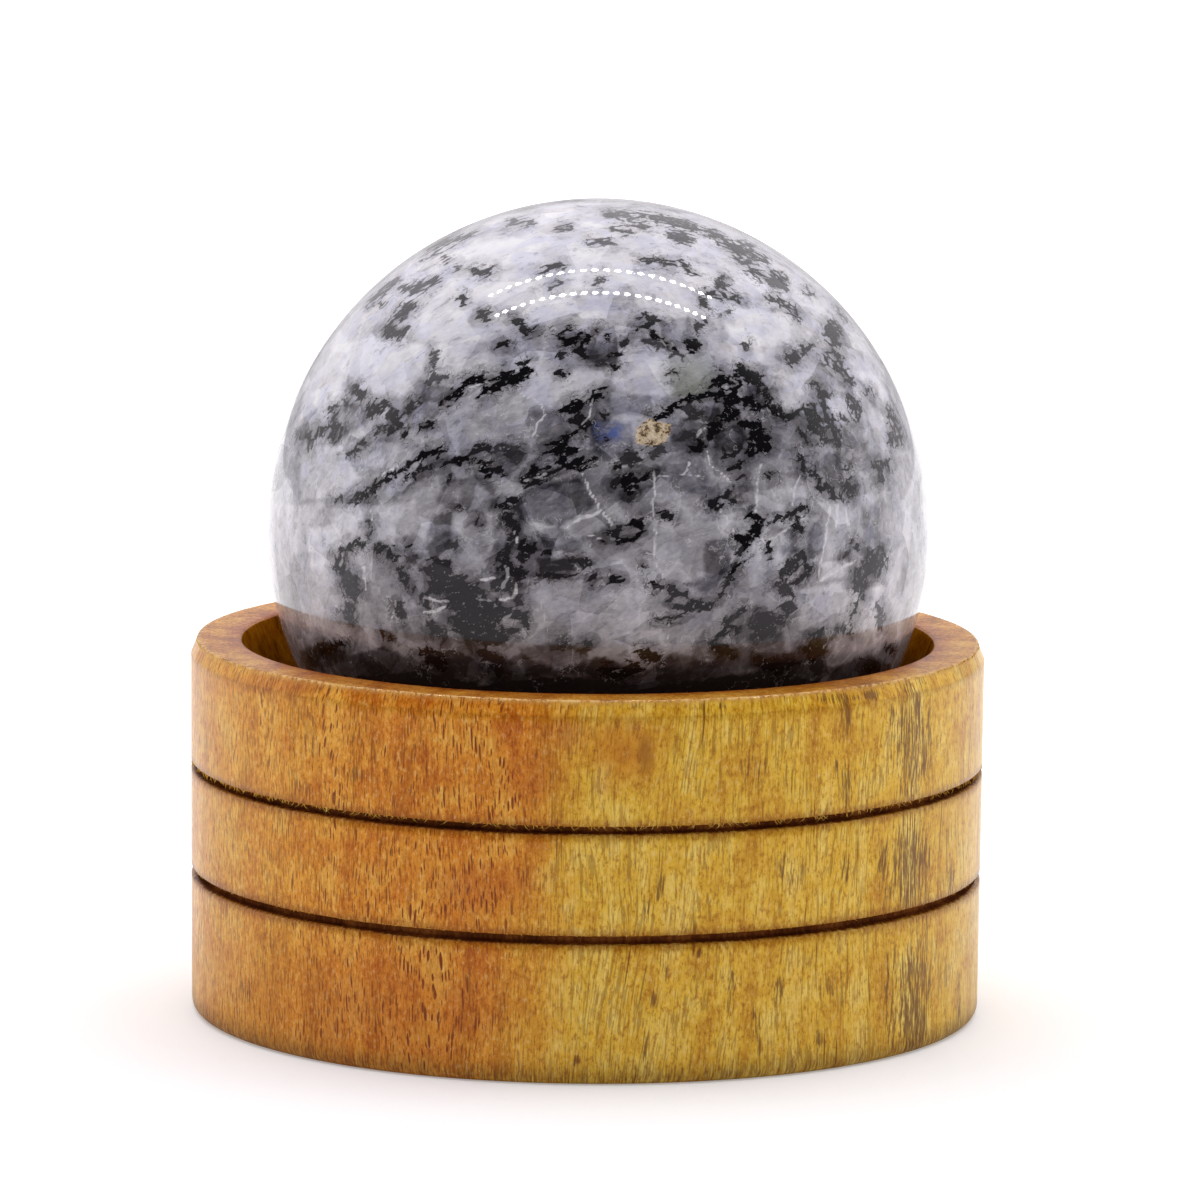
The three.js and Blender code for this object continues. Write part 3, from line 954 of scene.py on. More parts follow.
def stone_ground(g, p):
    """Crystals of differing lightness, clouded, finely grained and freckled, some of them bluish.
    Beside the veins, single splinters are dark."""
    smoke = g.times(g.step(p.field, -1.3, 0.1), 0.12)
    dark_splinter = g.step(g.add(p.field, g.span(p.shard, SHARE, -0.6, 0.6)), -0.5, -0.3)
    smoke = g.add(smoke, g.times(dark_splinter, 0.14))
    # The drawn tone holds the crystals' lightness, and the painted light and shade of the top, the lower
    # half and the foot.
    light = g.add(
        g.span(p.own, SHARE, -0.1, 0.1),
        g.span(p.shard, SHARE, -0.05, 0.05),
        g.span(p.facet, SHARE, -0.07, 0.07),
        g.span(p.clouds, NOISE, -0.07, 0.07),
        g.span(p.grain, NOISE, -0.06, 0.06),
        g.times(g.attribute("tone"), 0.72),
    )
    light = g.add(g.math("SUBTRACT", light, smoke), 0.57, clamp=True)
    ground = g.ramp(
        light, (0.0, (50, 48, 51)), (0.25, (112, 109, 113)), (0.5, (172, 170, 175)),
        (0.75, (222, 220, 225)), (1.0, (250, 249, 252)),
    )
    freckle = g.times(g.step(p.freckles, 0.55, 0.66), g.step(p.clouds, 0.62, 0.42))
    ground = g.paint(ground, freckle, 0.42, srgb(88, 86, 94))
    blueness = g.add(
        g.times(g.attribute("blue"), 0.45),
        g.span(p.facet, SHARE, -0.22, 0.25),
        g.span(p.clouds, NOISE, 0.2, -0.2),
        clamp=True,
    )
    return g.mix(blueness, ground, srgb(204, 207, 233), "MULTIPLY")


def stone_tints(g, p, ground, crack):
    """Pale cracks, where they are drawn and here and there, and the single tinted spots."""
    stray = g.times(thread_lines(g, p.threads, 0.5, 0.014), g.step(p.clouds, 0.5, 0.6))
    pale = g.math("MAXIMUM", crack, g.times(stray, 0.45))
    ground = g.paint(ground, pale, 0.7, srgb(238, 237, 240))
    flash = g.times(g.attribute("flash"), g.step(p.ragged, 0.4, 0.62))
    ground = g.paint(ground, flash, 0.85, srgb(82, 104, 172))
    ground = g.paint(ground, g.attribute("green"), 0.4, srgb(150, 158, 138))
    tan = g.ramp(p.crumbs, (0.4, (104, 84, 64)), (0.48, (206, 184, 150)), (0.65, (232, 218, 196)))
    patch = g.add(g.attribute("tan"), g.span(p.ragged, NOISE, -0.4, 0.4))
    return g.mix(g.step(patch, 0.45, 0.55), ground, tan)


def stone_veins(g, p, ground, crack):
    """The drawn veins with splintered edges, threads and flecks beside them, and bright slivers
    inside."""
    frayed = g.add(p.field, g.span(p.streak, NOISE, -0.2, 0.2))
    edge = g.add(frayed, g.span(p.ragged, NOISE, -0.1, 0.14), g.span(p.border, (0.0, 0.3), 0.2, -0.36))
    edge = g.math("MAXIMUM", edge, g.math("SUBTRACT", frayed, 0.2))
    ground = g.paint(ground, g.step(edge, -0.16, -0.02), 0.5, srgb(70, 64, 62))
    thread = g.times(thread_lines(g, p.threads, 0.46, 0.02), g.step(p.field, -1.1, -0.4))
    fleck = g.times(g.step(p.grain, 0.59, 0.63), g.step(p.field, -1.2, -0.1))
    strays = g.times(g.math("MAXIMUM", thread, fleck), g.step(p.ragged, 0.44, 0.52))
    vein = g.math("MAXIMUM", g.step(edge, -0.02, 0.03), g.times(strays, 0.6))
    # Less black strokes come out greyer and fainter: partly a painted reflection veil.
    deep = g.math("MINIMUM", g.span(g.attribute("shade"), (0.4, 0.95), 0.0, 1.0), 1.0)
    vein = g.times(vein, g.span(deep, SHARE, 0.7, 1.0))
    black = g.mix(deep, srgb(66, 63, 69), srgb(11, 9, 13))
    black = g.paint(black, g.step(p.grain, 0.38, 0.34), 0.55, srgb(176, 174, 178))
    black = g.paint(black, crack, 0.6, srgb(186, 184, 188))
    return g.mix(vein, ground, black)


def stone_material():
    """Polished feldspar: blocky pale crystals and black splintered veins."""
    material, g, surface = new_material("polished_stone")
    p = stone_patterns(g)
    drawn = g.attribute("crack")
    crack = g.step(g.add(drawn, g.span(p.ragged, NOISE, -0.12, 0.12)), 0.2, 0.45)
    crack = g.times(crack, g.step(drawn, 0.02, 0.12))
    ground = stone_tints(g, p, stone_ground(g, p), crack)
    g.put(stone_veins(g, p, ground, crack), surface["Base Color"])
    g.put(g.span(p.grain, NOISE, 0.012, 0.03), surface["Roughness"])
    surface["IOR"].default_value = STONE_REFRACTION
    return material


def stone_ball():
    """The ball's mesh, finest on the photographed side."""
    normals, faces = cube_sphere(BALL_CELLS)
    normals = finer_towards(normals, BACK, BALL_FRONT_FINENESS)
    places = np.array(BALL_CENTRE) + normals * BALL_RADIUS
    piece = make_mesh("polished_ball", places, faces.tolist(), ball_marks(normals))
    piece.data.materials.append(stone_material())
    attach(piece, "root")
    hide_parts("stone_ball")


def drum_radius(height):
    """Radius of the drum's side, which narrows evenly from the rim to the foot."""
    return FOOT_RADIUS_MM + (STAND_RADIUS_MM - FOOT_RADIUS_MM) * height / STAND_HEIGHT_MM


def line_points(start, end, count):
    """Points from start up to, and without, end."""
    t = np.linspace(0.0, 1.0, count, endpoint=False)[:, None]
    return np.array(start) * (1 - t) + np.array(end) * t


def arc_points(centre, radius, start, end, count):
    """Points of an arc up to, and without, its end. Angles are in degrees."""
    angles = np.radians(np.linspace(start, end, count, endpoint=False))
    return np.array(centre) + radius * np.stack([np.cos(angles), np.sin(angles)], 1)


def groove_points(groove, count):
    """A narrow round-lipped groove, from its lower lip to its upper one."""
    t = np.linspace(-1.0, 1.0, count, endpoint=False)
    heights = groove["middle"] + t * groove["half_width"]
    sunk = groove["depth"] * smoothstep(1.0, 0.25, np.abs(t))
    return np.stack([drum_radius(heights) - sunk, heights], 1)


def stand_profile():
    """Radius and height of every ring of the stand, in millimetres, from the underside's
    middle round to the middle of the dish."""
    foot = drum_radius(FOOT_EDGE_MM) - FOOT_EDGE_MM
    low, high = LOWER_GROOVE, UPPER_GROOVE
    chamfer = STAND_HEIGHT_MM - RIM_CHAMFER_HEIGHT_MM
    inner = DISH_RADIUS_MM + DISH_EDGE_MM
    dish_floor = STAND_HEIGHT_MM - DISH_DEPTH_MM
    reach = DISH_RADIUS_MM - DISH_FLOOR_RADIUS_MM
    sweep = (reach ** 2 + DISH_DEPTH_MM ** 2) / (2 * DISH_DEPTH_MM)
    rim_angle = math.degrees(math.atan2(-DISH_EDGE_MM - (sweep - DISH_DEPTH_MM), reach))

    def side(start, end, count):
        return line_points((drum_radius(start), start), (drum_radius(end), end), count)

    # The last number of each stretch is its count of rings.
    return np.vstack([
        line_points((0.0, 0.0), (foot, 0.0), 6),
        arc_points((foot, FOOT_EDGE_MM), FOOT_EDGE_MM, -90, 0, 7),
        side(FOOT_EDGE_MM, low["middle"] - low["half_width"], 18),
        groove_points(low, 16),
        side(low["middle"] + low["half_width"], high["middle"] - high["half_width"], 13),
        groove_points(high, 16),
        side(high["middle"] + high["half_width"], chamfer, 15),
        line_points((drum_radius(chamfer), chamfer), (RIM_RADIUS_MM, STAND_HEIGHT_MM), 6),
        line_points((RIM_RADIUS_MM, STAND_HEIGHT_MM), (inner, STAND_HEIGHT_MM), 10),
        arc_points((inner, STAND_HEIGHT_MM - DISH_EDGE_MM), DISH_EDGE_MM, 90, 180, 3),
        arc_points((DISH_FLOOR_RADIUS_MM, dish_floor + sweep), sweep, rim_angle, -90, 14),
        line_points((DISH_FLOOR_RADIUS_MM, dish_floor), (0.0, dish_floor), 2),
        [(0.0, dish_floor)],
    ])


def revolve(profile, segments):
    """A closed turned body: the profile's two ends lie on the axis."""
    rings = profile[1:-1]
    angles = np.linspace(0.0, 2 * math.pi, segments, endpoint=False)
    radius, height = rings[:, :1], rings[:, 1:]
    around = np.stack([
        radius * np.cos(angles), radius * np.sin(angles), np.repeat(height, segments, 1),
    ], -1).reshape(-1, 3)
    first, last = len(around), len(around) + 1
    places = np.vstack([around, [(0, 0, profile[0, 1])], [(0, 0, profile[-1, 1])]])
    index = np.arange(len(around)).reshape(len(rings), segments)
    after = np.roll(index, -1, 1)
    quads = np.stack([index[:-1], after[:-1], after[1:], index[1:]], -1).reshape(-1, 4)
    faces = quads.tolist()
    faces += [(first, after[0, k], index[0, k]) for k in range(segments)]
    faces += [(last, index[-1, k], after[-1, k]) for k in range(segments)]
    return places, faces


# Marks on the photographed side of the stand: middle and half sizes in pixels, and strength.
STAINS = [
    ((912, 740), (20, 66), 0.75), ((910, 868), (22, 54), 0.75), ((914, 1000), (18, 66), 0.8),
    ((890, 1000), (9, 60), 0.4), ((884, 870), (8, 50), 0.4), ((844, 715), (6, 24), 0.8),
    ((871, 695), (9, 6), 1.0), ((836, 698), (30, 5), 0.6), ((893, 716), (5, 12), 0.6),
    ((900, 740), (12, 12), 0.4), ((846, 786), (7, 24), 0.7), ((836, 770), (4, 14), 0.5),
    ((753, 768), (18, 14), 0.4), ((660, 890), (4, 16), 0.7), ((648, 908), (3, 18), 0.8),
    ((664, 966), (4, 18), 0.6), ((655, 1005), (4, 26), 0.6), ((646, 1046), (4, 20), 0.6),
    ((731, 985), (4, 36), 0.6), ((757, 1030), (4, 34), 0.6), ((820, 1040), (7, 10), 0.8),
    ((577, 1060), (5, 5), 0.9), ((925, 967), (4, 6), 1.0), ((701, 952), (3, 2), 0.9),
    ((780, 990), (7, 16), 0.5), ((828, 985), (10, 14), 0.5), ((845, 870), (8, 14), 0.6),
    ((790, 868), (14, 18), 0.45), ((637, 705), (5, 3), 0.7), ((656, 705), (4, 2), 0.6),
    ((720, 706), (7, 3), 0.6), ((950, 880), (5, 30), 0.4), ((958, 1000), (5, 40), 0.4),
    ((355, 775), (10, 9), 0.5), ((300, 790), (14, 12), 0.35), ((246, 990), (10, 16), 0.4),
]
REDDENINGS = [
    ((530, 775), (26, 34), 0.7), ((560, 735), (30, 20), 0.5), ((470, 890), (34, 26), 0.6),
    ((510, 885), (26, 20), 0.6), ((470, 1010), (44, 36), 0.5), ((395, 985), (36, 22), 0.5),
    ((270, 684), (60, 12), 0.6), ((300, 672), (50, 6), 0.5), ((420, 700), (60, 12), 0.35),
    ((330, 1010), (130, 60), 0.45), ((430, 1050), (50, 14), 0.4), ((612, 786), (22, 10), 0.4),
    ((305, 800), (24, 12), 0.4),
]
KNOT = ((624, 747), (36, 32))
KNOT_SHADOW = ((645, 753), (7, 17))

# Where the wood's marks lie: the cosines towards the camera between which the drawn ones come in,
# the radius from which a point is on the drum's side and from which it is in or at a groove, the
# radii between which the rim's inner edge darkens, the depths below the rim between which its end
# grain begins and the radius from which it does, the heights between which the foot darkens with
# dirt and painted shade, and how far the worn edges reach.
SIDE_FADE = (0.1, 0.25)
SIDE_FROM_MM = 28.0
GROOVES_FROM_MM = 27.0
RIM_DARKENS_MM = (28.2, 26.4)
END_GRAIN_MM = (0.3, 0.05)
END_GRAIN_FROM_MM = DISH_RADIUS_MM - 0.2
FOOT_DIRT_AND_SHADE_MM = (2.2, 0.2)
CHAMFER_WEAR_MM = 0.16
RIM_WEAR_MM = 0.2

# Burning in and beside a groove, in half widths from its middle, how far it wavers, and the
# scorching of the chamfer's lower edge.
BURN_EDGE = (0.95, 0.5)
SCORCH_EDGE = (2.6, 0.9)
BURN_WAVES = 0.12
CHAMFER_SCORCH = 0.45

# The heartwood fills the left, up to a wavy border that leans, and fades towards the far left,
# which makes that edge paler: partly lighter wood, partly a painted sheen. The waves are noise
# of this size, drawn out upwards.
HEART_BORDER_MM = -5.8
HEART_LEAN = 0.15
HEART_WAVES_MM = 3.0
HEART_SOFT_MM = (6.0, -5.0)
HEART_FADE_AND_SHEEN_MM = (-29.0, -12.0)
HEART_AT_EDGE = 0.6
WAVES_SIZE_MM = 9.0
WAVES_SQUEEZE = (1.0, 1.0, 0.35)

# On the photographed side, right of the middle, the grain leans: where across and at what height
# its middle lies, how wide the place is, and the slope.
GRAIN_LEAN_MM = (5.0, 22.0)
GRAIN_LEAN_WIDTH_MM = 6.0
GRAIN_LEAN_SLOPE = 0.09


def blots(spots, marks):
    """The strongest of several soft round marks at each point of the photograph."""
    total = np.zeros(len(spots))
    for (x, y), (wide, high), strength in marks:
        far = np.hypot((spots[:, 0] - x) / wide, (spots[:, 1] - y) / high)
        total = np.maximum(total, strength * smoothstep(1.35, 0.35, far))
    return total


def wood_marks(places_mm):
    """Pattern values of the wood: heartwood, burnt grooves, end grain, worn edges, stains."""
    x, y, z = places_mm.T
    radius = np.hypot(x, y)
    outward = np.stack([x, y, np.zeros(len(x))], 1) / np.maximum(radius, 0.1)[:, None]
    ahead = smoothstep(*SIDE_FADE, facing_camera(places_mm * MM, outward))
    spots = photo_points(places_mm * MM)
    side = (radius > SIDE_FROM_MM) * ahead
    waves = noise_at(places_mm * WAVES_SQUEEZE, WAVES_SIZE_MM, 3)
    past_border = x - HEART_BORDER_MM - HEART_LEAN * z + HEART_WAVES_MM * waves
    heart = smoothstep(*HEART_SOFT_MM, past_border)
    # Paler towards the far left: partly a painted sheen of that edge.
    heart *= HEART_AT_EDGE + (1.0 - HEART_AT_EDGE) * smoothstep(*HEART_FADE_AND_SHEEN_MM, x)
    groove = np.zeros(len(x))
    from_chamfer = z - STAND_HEIGHT_MM + RIM_CHAMFER_HEIGHT_MM
    shoulder = CHAMFER_SCORCH * np.exp(-(from_chamfer / CHAMFER_WEAR_MM) ** 2)
    for cut in (LOWER_GROOVE, UPPER_GROOVE):
        off = np.abs(z - cut["middle"]) / cut["half_width"] + BURN_WAVES * waves
        groove = np.maximum(groove, (radius > GROOVES_FROM_MM) * smoothstep(*BURN_EDGE, off))
        shoulder = np.maximum(shoulder, (radius > GROOVES_FROM_MM) * smoothstep(*SCORCH_EDGE, off))
    top = smoothstep(*[STAND_HEIGHT_MM - depth for depth in END_GRAIN_MM], z)
    top *= radius > END_GRAIN_FROM_MM
    lean_x, lean_z = GRAIN_LEAN_MM
    lean = np.exp(-(((x - lean_x) / GRAIN_LEAN_WIDTH_MM) ** 2)) * (y < 0.0)
    lean *= GRAIN_LEAN_SLOPE * (z - lean_z)
    return {
        "heart": heart,
        "burn": groove,
        "shoulder": shoulder,
        "top": top,
        "inner": top * smoothstep(*RIM_DARKENS_MM, radius),
        "fuzz": np.exp(-(np.hypot(radius - RIM_RADIUS_MM, z - STAND_HEIGHT_MM) / RIM_WEAR_MM) ** 2),
        # Darker at the foot: dirt and painted shade.
        "foot": smoothstep(*FOOT_DIRT_AND_SHADE_MM, z),
        "stain": blots(spots, STAINS) * side,
        "redness": blots(spots, REDDENINGS) * side,
        "knot": spot_at(spots, KNOT) * side,
        "knot_shadow": spot_at(spots, KNOT_SHADOW) * side,
        "lean": lean * MM,
    }


def stretched(g, vector, share):
    """A flat pattern drawn out upwards: a small share makes it long."""
    return g.vector("MULTIPLY", vector, (1.0, share, 0.0))


def wood_patterns(g):
    """The noises that the wood is made of. Those of the grain lie on the drum's side laid flat, by
    distance round it and height, and sway a little."""
    place = g.place()
    parts = g.split(place)
    around = g.times(g.math("ARCTAN2", parts["Y"], parts["X"]), STAND_RADIUS_MM * MM)
    around = g.math("SUBTRACT", around, g.attribute("lean"))
    flat = g.node("ShaderNodeCombineXYZ", None, X=around, Y=parts["Z"]).outputs[0]
    sway = g.math("SUBTRACT", g.noise(stretched(g, flat, 0.3), 5.0, 1.0, 0.5, "2D"), 0.5)
    aside = g.node("ShaderNodeCombineXYZ", None, X=g.times(sway, 2.4 * MM)).outputs[0]
    bent = g.vector("ADD", flat, aside)
    fibre = g.noise(stretched(g, flat, 0.1), 0.15, 2.0, 0.7, "2D")
    bands = g.noise(stretched(g, bent, 0.12), 2.0, 3.0, 0.65, "2D")
    heart = g.add(
        g.attribute("heart"),
        g.span(bands, NOISE, -0.2, 0.2),
        g.span(fibre, NOISE, -0.1, 0.1),
        clamp=True,
    )
    return SimpleNamespace(
        bent=bent,
        fibre=fibre,
        bands=bands,
        heart=heart,
        flecks=g.noise(stretched(g, bent, 0.07), 0.24, 3.0, 0.6, "2D"),
        cloud=g.noise(place, 3.2, 4.0, 0.6),
        mottle=g.noise(g.vector("MULTIPLY", place, (1.0, 1.0, 0.55)), 0.28, 3.0, 0.75),
    )


def wood_ground(g, p):
    """Yellow sapwood and redder heartwood, banded, fibrous and mottled."""
    tint = g.add(g.times(p.bands, 0.45), g.times(p.cloud, 0.55))
    pale = g.ramp(tint, (0.39, (216, 158, 36)), (0.5, (240, 194, 58)), (0.61, (251, 219, 104)))
    red = g.ramp(tint, (0.39, (204, 108, 14)), (0.5, (230, 146, 34)), (0.61, (244, 178, 66)))
    wood = g.mix(p.heart, pale, red)
    wood = g.paint(wood, g.step(p.fibre, 0.5, 0.7), 0.4, srgb(176, 116, 44), "MULTIPLY")
    wood = g.paint(wood, g.step(p.mottle, 0.5, 0.66), 0.62, srgb(196, 140, 80), "MULTIPLY")
    return g.paint(wood, g.step(p.mottle, 0.46, 0.34), 0.34, srgb(255, 224, 140))


def dashes(g, p, size, share, smallest, largest):
    """Upright dashes of differing width, one in each cell, or none where the width is below 0."""
    cells = g.voronoi(stretched(g, p.bent, share), size, "2D")
    reach = g.span(g.first(cells["Color"]), SHARE, smallest, largest)
    return g.step(g.math("SUBTRACT", reach, cells["Distance"]), -0.02, 0.03)


def wood_pores(g, p, wood):
    """Short upright dashes, dense and red in the heartwood, and brown flecks and long thin lines
    in the pale wood."""
    short = g.math("MAXIMUM", dashes(g, p, 0.21, 0.14, -0.1, 0.34), dashes(g, p, 0.32, 0.13, -0.2, 0.29))
    patchy = g.span(g.step(p.cloud, 0.4, 0.54), SHARE, 0.35, 1.0)
    short_strength = g.times(g.span(p.heart, SHARE, 0.1, 1.0), patchy)
    wood = g.paint(wood, short, short_strength, g.mix(p.heart, srgb(150, 96, 18), srgb(134, 58, 10)))
    figured = g.add(p.flecks, g.span(p.cloud, (0.35, 0.65), -0.12, 0.1))
    fleck_strength = g.span(p.heart, SHARE, 0.55, 0.2)
    brown = g.mix(p.heart, srgb(158, 104, 16), srgb(164, 82, 12))
    wood = g.paint(wood, g.step(figured, 0.56, 0.64), fleck_strength, brown)
    clustered = g.span(g.step(p.bands, 0.56, 0.44), SHARE, 0.15, 1.0)
    long_strength = g.times(g.span(p.heart, SHARE, 0.9, 0.2), clustered)
    return g.paint(wood, dashes(g, p, 0.55, 0.04, -0.1, 0.16), long_strength, srgb(112, 68, 16))


def wood_stains(g, p, wood):
    """Reddened places, the knot, grey-brown stains, and darkening at the foot: dirt and painted shade."""
    redness = g.times(g.attribute("redness"), g.step(p.cloud, 0.3, 0.6))
    wood = g.paint(wood, redness, 0.8, srgb(204, 118, 64), "MULTIPLY")
    wood = g.paint(wood, g.attribute("knot"), 0.75, srgb(224, 180, 112), "MULTIPLY")
    wood = g.paint(wood, g.attribute("knot_shadow"), 0.7, srgb(164, 104, 26))
    stain = g.attribute("stain")
    streaked = g.add(g.span(p.fibre, NOISE, -0.5, 0.5), g.span(p.flecks, NOISE, -0.5, 0.5), stain)
    streaked = g.times(g.step(streaked, 0.2, 0.9), g.step(stain, 0.02, 0.3))
    wood = g.paint(wood, streaked, 0.75, srgb(108, 66, 30))
    # Darker at the foot: dirt, and painted shade where the stand meets the floor.
    foot = g.times(g.attribute("foot"), g.span(p.fibre, NOISE, 0.3, 0.8))
    return g.mix(foot, wood, srgb(104, 66, 20))


def wood_edges(g, p, wood):
    """End grain on the rim, its pale worn edge, and brown scorching beside the grooves."""
    rough_ends = g.add(g.times(p.mottle, 0.6), g.times(p.cloud, 0.4))
    ends = g.ramp(rough_ends, (0.38, (130, 60, 8)), (0.5, (204, 124, 26)), (0.6, (240, 184, 76)))
    wood = g.paint(wood, g.attribute("top"), 0.85, ends)
    wood = g.paint(wood, g.attribute("inner"), 0.6, srgb(206, 128, 92), "MULTIPLY")
    worn = g.times(g.attribute("fuzz"), g.step(p.mottle, 0.4, 0.58))
    wood = g.paint(wood, worn, 0.8, srgb(246, 210, 136))
    scorch = g.times(g.attribute("shoulder"), g.span(p.mottle, NOISE, 0.3, 1.0))
    return g.mix(scorch, wood, srgb(140, 76, 10))


def wood_material():
    """Turned wood with upright grain and a thin finish, burnt in the grooves."""
    material, g, surface = new_material("turned_wood")
    p = wood_patterns(g)
    wood = wood_edges(g, p, wood_stains(g, p, wood_pores(g, p, wood_ground(g, p))))
    burn = g.step(g.add(g.attribute("burn"), g.span(p.mottle, NOISE, -0.35, 0.35)), 0.2, 0.8)
    g.put(g.mix(burn, wood, srgb(104, 54, 16)), surface["Base Color"])
    g.put(g.math("MAXIMUM", g.span(p.fibre, NOISE, 0.42, 0.58), burn), surface["Roughness"])
    surface["Specular IOR Level"].default_value = 0.08
    surface["Coat Weight"].default_value = 0.45
    surface["Coat Roughness"].default_value = 0.2
    bump = g.node("ShaderNodeBump", None, Strength=0.5, Distance=0.06 * MM, Height=p.fibre)
    g.put(bump.outputs["Normal"], surface["Normal"])
    return material


def dull_material(name, dark, middle, light):
    """Bare open-grained wood without any gloss, in three shades."""
    material, g, surface = new_material(name)
    place = g.place()
    cloud = g.noise(place, 3.2, 4.0, 0.6)
    pores = g.noise(g.vector("MULTIPLY", place, (1.0, 1.0, 0.2)), 0.3, 3.0, 0.7)
    tint = g.add(g.times(cloud, 0.5), g.times(pores, 0.5))
    g.put(g.ramp(tint, (0.38, dark), (0.5, middle), (0.62, light)), surface["Base Color"])
    g.put(g.span(pores, NOISE, 0.75, 0.95), surface["Roughness"])
    surface["Specular IOR Level"].default_value = 0.0
    return material


# Torn fibres on the lips of the grooves and on the rim's edge: how many, the height and
# radius of their roots, and the shortest and longest, in millimetres.
FIBRES = {
    "upper groove": (1300, 19.26, 29.86, 0.14, 0.8),
    "lower groove": (700, 11.2, 29.82, 0.1, 0.34),
    "rim": (900, 28.24, 29.5, 0.12, 0.4),
}
FIBRE_RADIUS_MM = 0.034
FIBRE_LIMIT_MM = 29.93
FIBRE_SCATTER_MM = 0.05
FIBRE_SLANT = 1.3
FIBRE_LENGTHS_POWER = 0.6
FIBRE_SIDES = 3
FIBRE_SEED = 7


def torn_fibres():
    """Fine hairs, each a closed tapering sliver that bows out from its root and hangs down."""
    chance = np.random.default_rng(FIBRE_SEED)
    places = []
    faces = []
    for count, height, radius, shortest, longest in FIBRES.values():
        for turn in chance.uniform(0.0, 2 * math.pi, count):
            outward = np.array([math.cos(turn), math.sin(turn), 0.0])
            sideways = np.array([-math.sin(turn), math.cos(turn), 0.0])
            upward = np.array([0.0, 0.0, 1.0])
            length = shortest + (longest - shortest) * chance.power(FIBRE_LENGTHS_POWER)
            slant = chance.uniform(-FIBRE_SLANT, FIBRE_SLANT)
            scatter = chance.uniform(-FIBRE_SCATTER_MM, FIBRE_SCATTER_MM)
            root = radius * outward + (height + scatter) * upward
            middle = root + length * (0.25 * outward + 0.35 * slant * sideways - 0.35 * upward)
            tip = root + length * (0.1 * outward + slant * sideways - 0.7 * upward)
            for point in (middle, tip):
                point[:2] *= min(1.0, FIBRE_LIMIT_MM / math.hypot(point[0], point[1]))
            first = len(places)
            upper = first + FIBRE_SIDES
            for centre in (root, middle):
                for k in range(FIBRE_SIDES):
                    angle = 2 * math.pi * k / FIBRE_SIDES
                    across = math.cos(angle) * sideways + math.sin(angle) * outward
                    places.append(centre + FIBRE_RADIUS_MM * across)
            places.append(tip)
            faces.append((first, first + 2, first + 1))
            for k in range(FIBRE_SIDES):
                after = (k + 1) % FIBRE_SIDES
                faces.append((first + k, first + after, upper + after, upper + k))
                faces.append((upper + k, upper + after, upper + FIBRE_SIDES))
    return np.array(places), faces


# Bare woods of the stand in three shades, dark to light. Burnt wood begins this far inside the
# drum's side.
# The dish's wood is darker than the wood outside: painted shade inside the dish.
DISH_SHADES_WITH_PAINTED_SHADE = ((104, 54, 4), (150, 86, 8), (178, 112, 22))
BURNT_SHADES = ((76, 38, 18), (106, 56, 26), (142, 84, 38))
TORN_SHADES = ((206, 146, 48), (232, 178, 76), (246, 206, 112))
BURNT_FROM_MM = 0.3


def wooden_stand():
    """The turned stand with its torn fibres: one mesh in four woods."""
    places_mm, faces = revolve(stand_profile(), STAND_SEGMENTS)
    fibres_mm, fibre_faces = torn_fibres()
    turned_faces = len(faces)
    faces += [tuple(k + len(places_mm) for k in face) for face in fibre_faces]
    all_mm = np.vstack([places_mm, fibres_mm])
    piece = make_mesh("turned_stand", all_mm * MM, faces, wood_marks(all_mm))
    piece.data.materials.append(wood_material())
    # The dish's darker wood is painted shade.
    piece.data.materials.append(dull_material("dish_wood_painted_shade", *DISH_SHADES_WITH_PAINTED_SHADE))
    piece.data.materials.append(dull_material("burnt_wood", *BURNT_SHADES))
    piece.data.materials.append(dull_material("torn_wood", *TORN_SHADES))
    turned, dish, burnt, torn = range(len(piece.data.materials))
    middles = np.empty(3 * len(piece.data.polygons))
    piece.data.polygons.foreach_get("center", middles)
    x, y, z = middles.reshape(-1, 3).T / MM
    radius = np.hypot(x, y)
    above_foot = z > FOOT_EDGE_MM
    below_upper_lip = z < UPPER_GROOVE["middle"] + UPPER_GROOVE["half_width"]
    sunk = (radius > SIDE_FROM_MM) & (radius < drum_radius(z) - BURNT_FROM_MM)
    woods = np.full(len(z), turned, np.int32)
    woods[(radius < DISH_RADIUS_MM) & above_foot] = dish
    woods[above_foot & below_upper_lip & sunk] = burnt
    woods[turned_faces:] = torn
    piece.data.polygons.foreach_set("material_index", woods)
    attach(piece, "root")
    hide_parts("wooden_stand")


FLOOR_HALF_WIDTH = 1.5
FLOOR_FRONT = -0.2
FLOOR_BACK = 1.5
FLOOR_HEIGHT = -0.02 * MM
FLOOR_WHITE = (0.79, 0.79, 0.8, 1.0)
FLOOR_GREY = (0.5, 0.49, 0.5, 1.0)
FLOOR_GLOW_COLOUR = (1.0, 0.985, 0.985, 1.0)
FLOOR_GLOW = (0.29, 0.8)
FLOOR_BRIGHTENS = (0.05, 0.22)


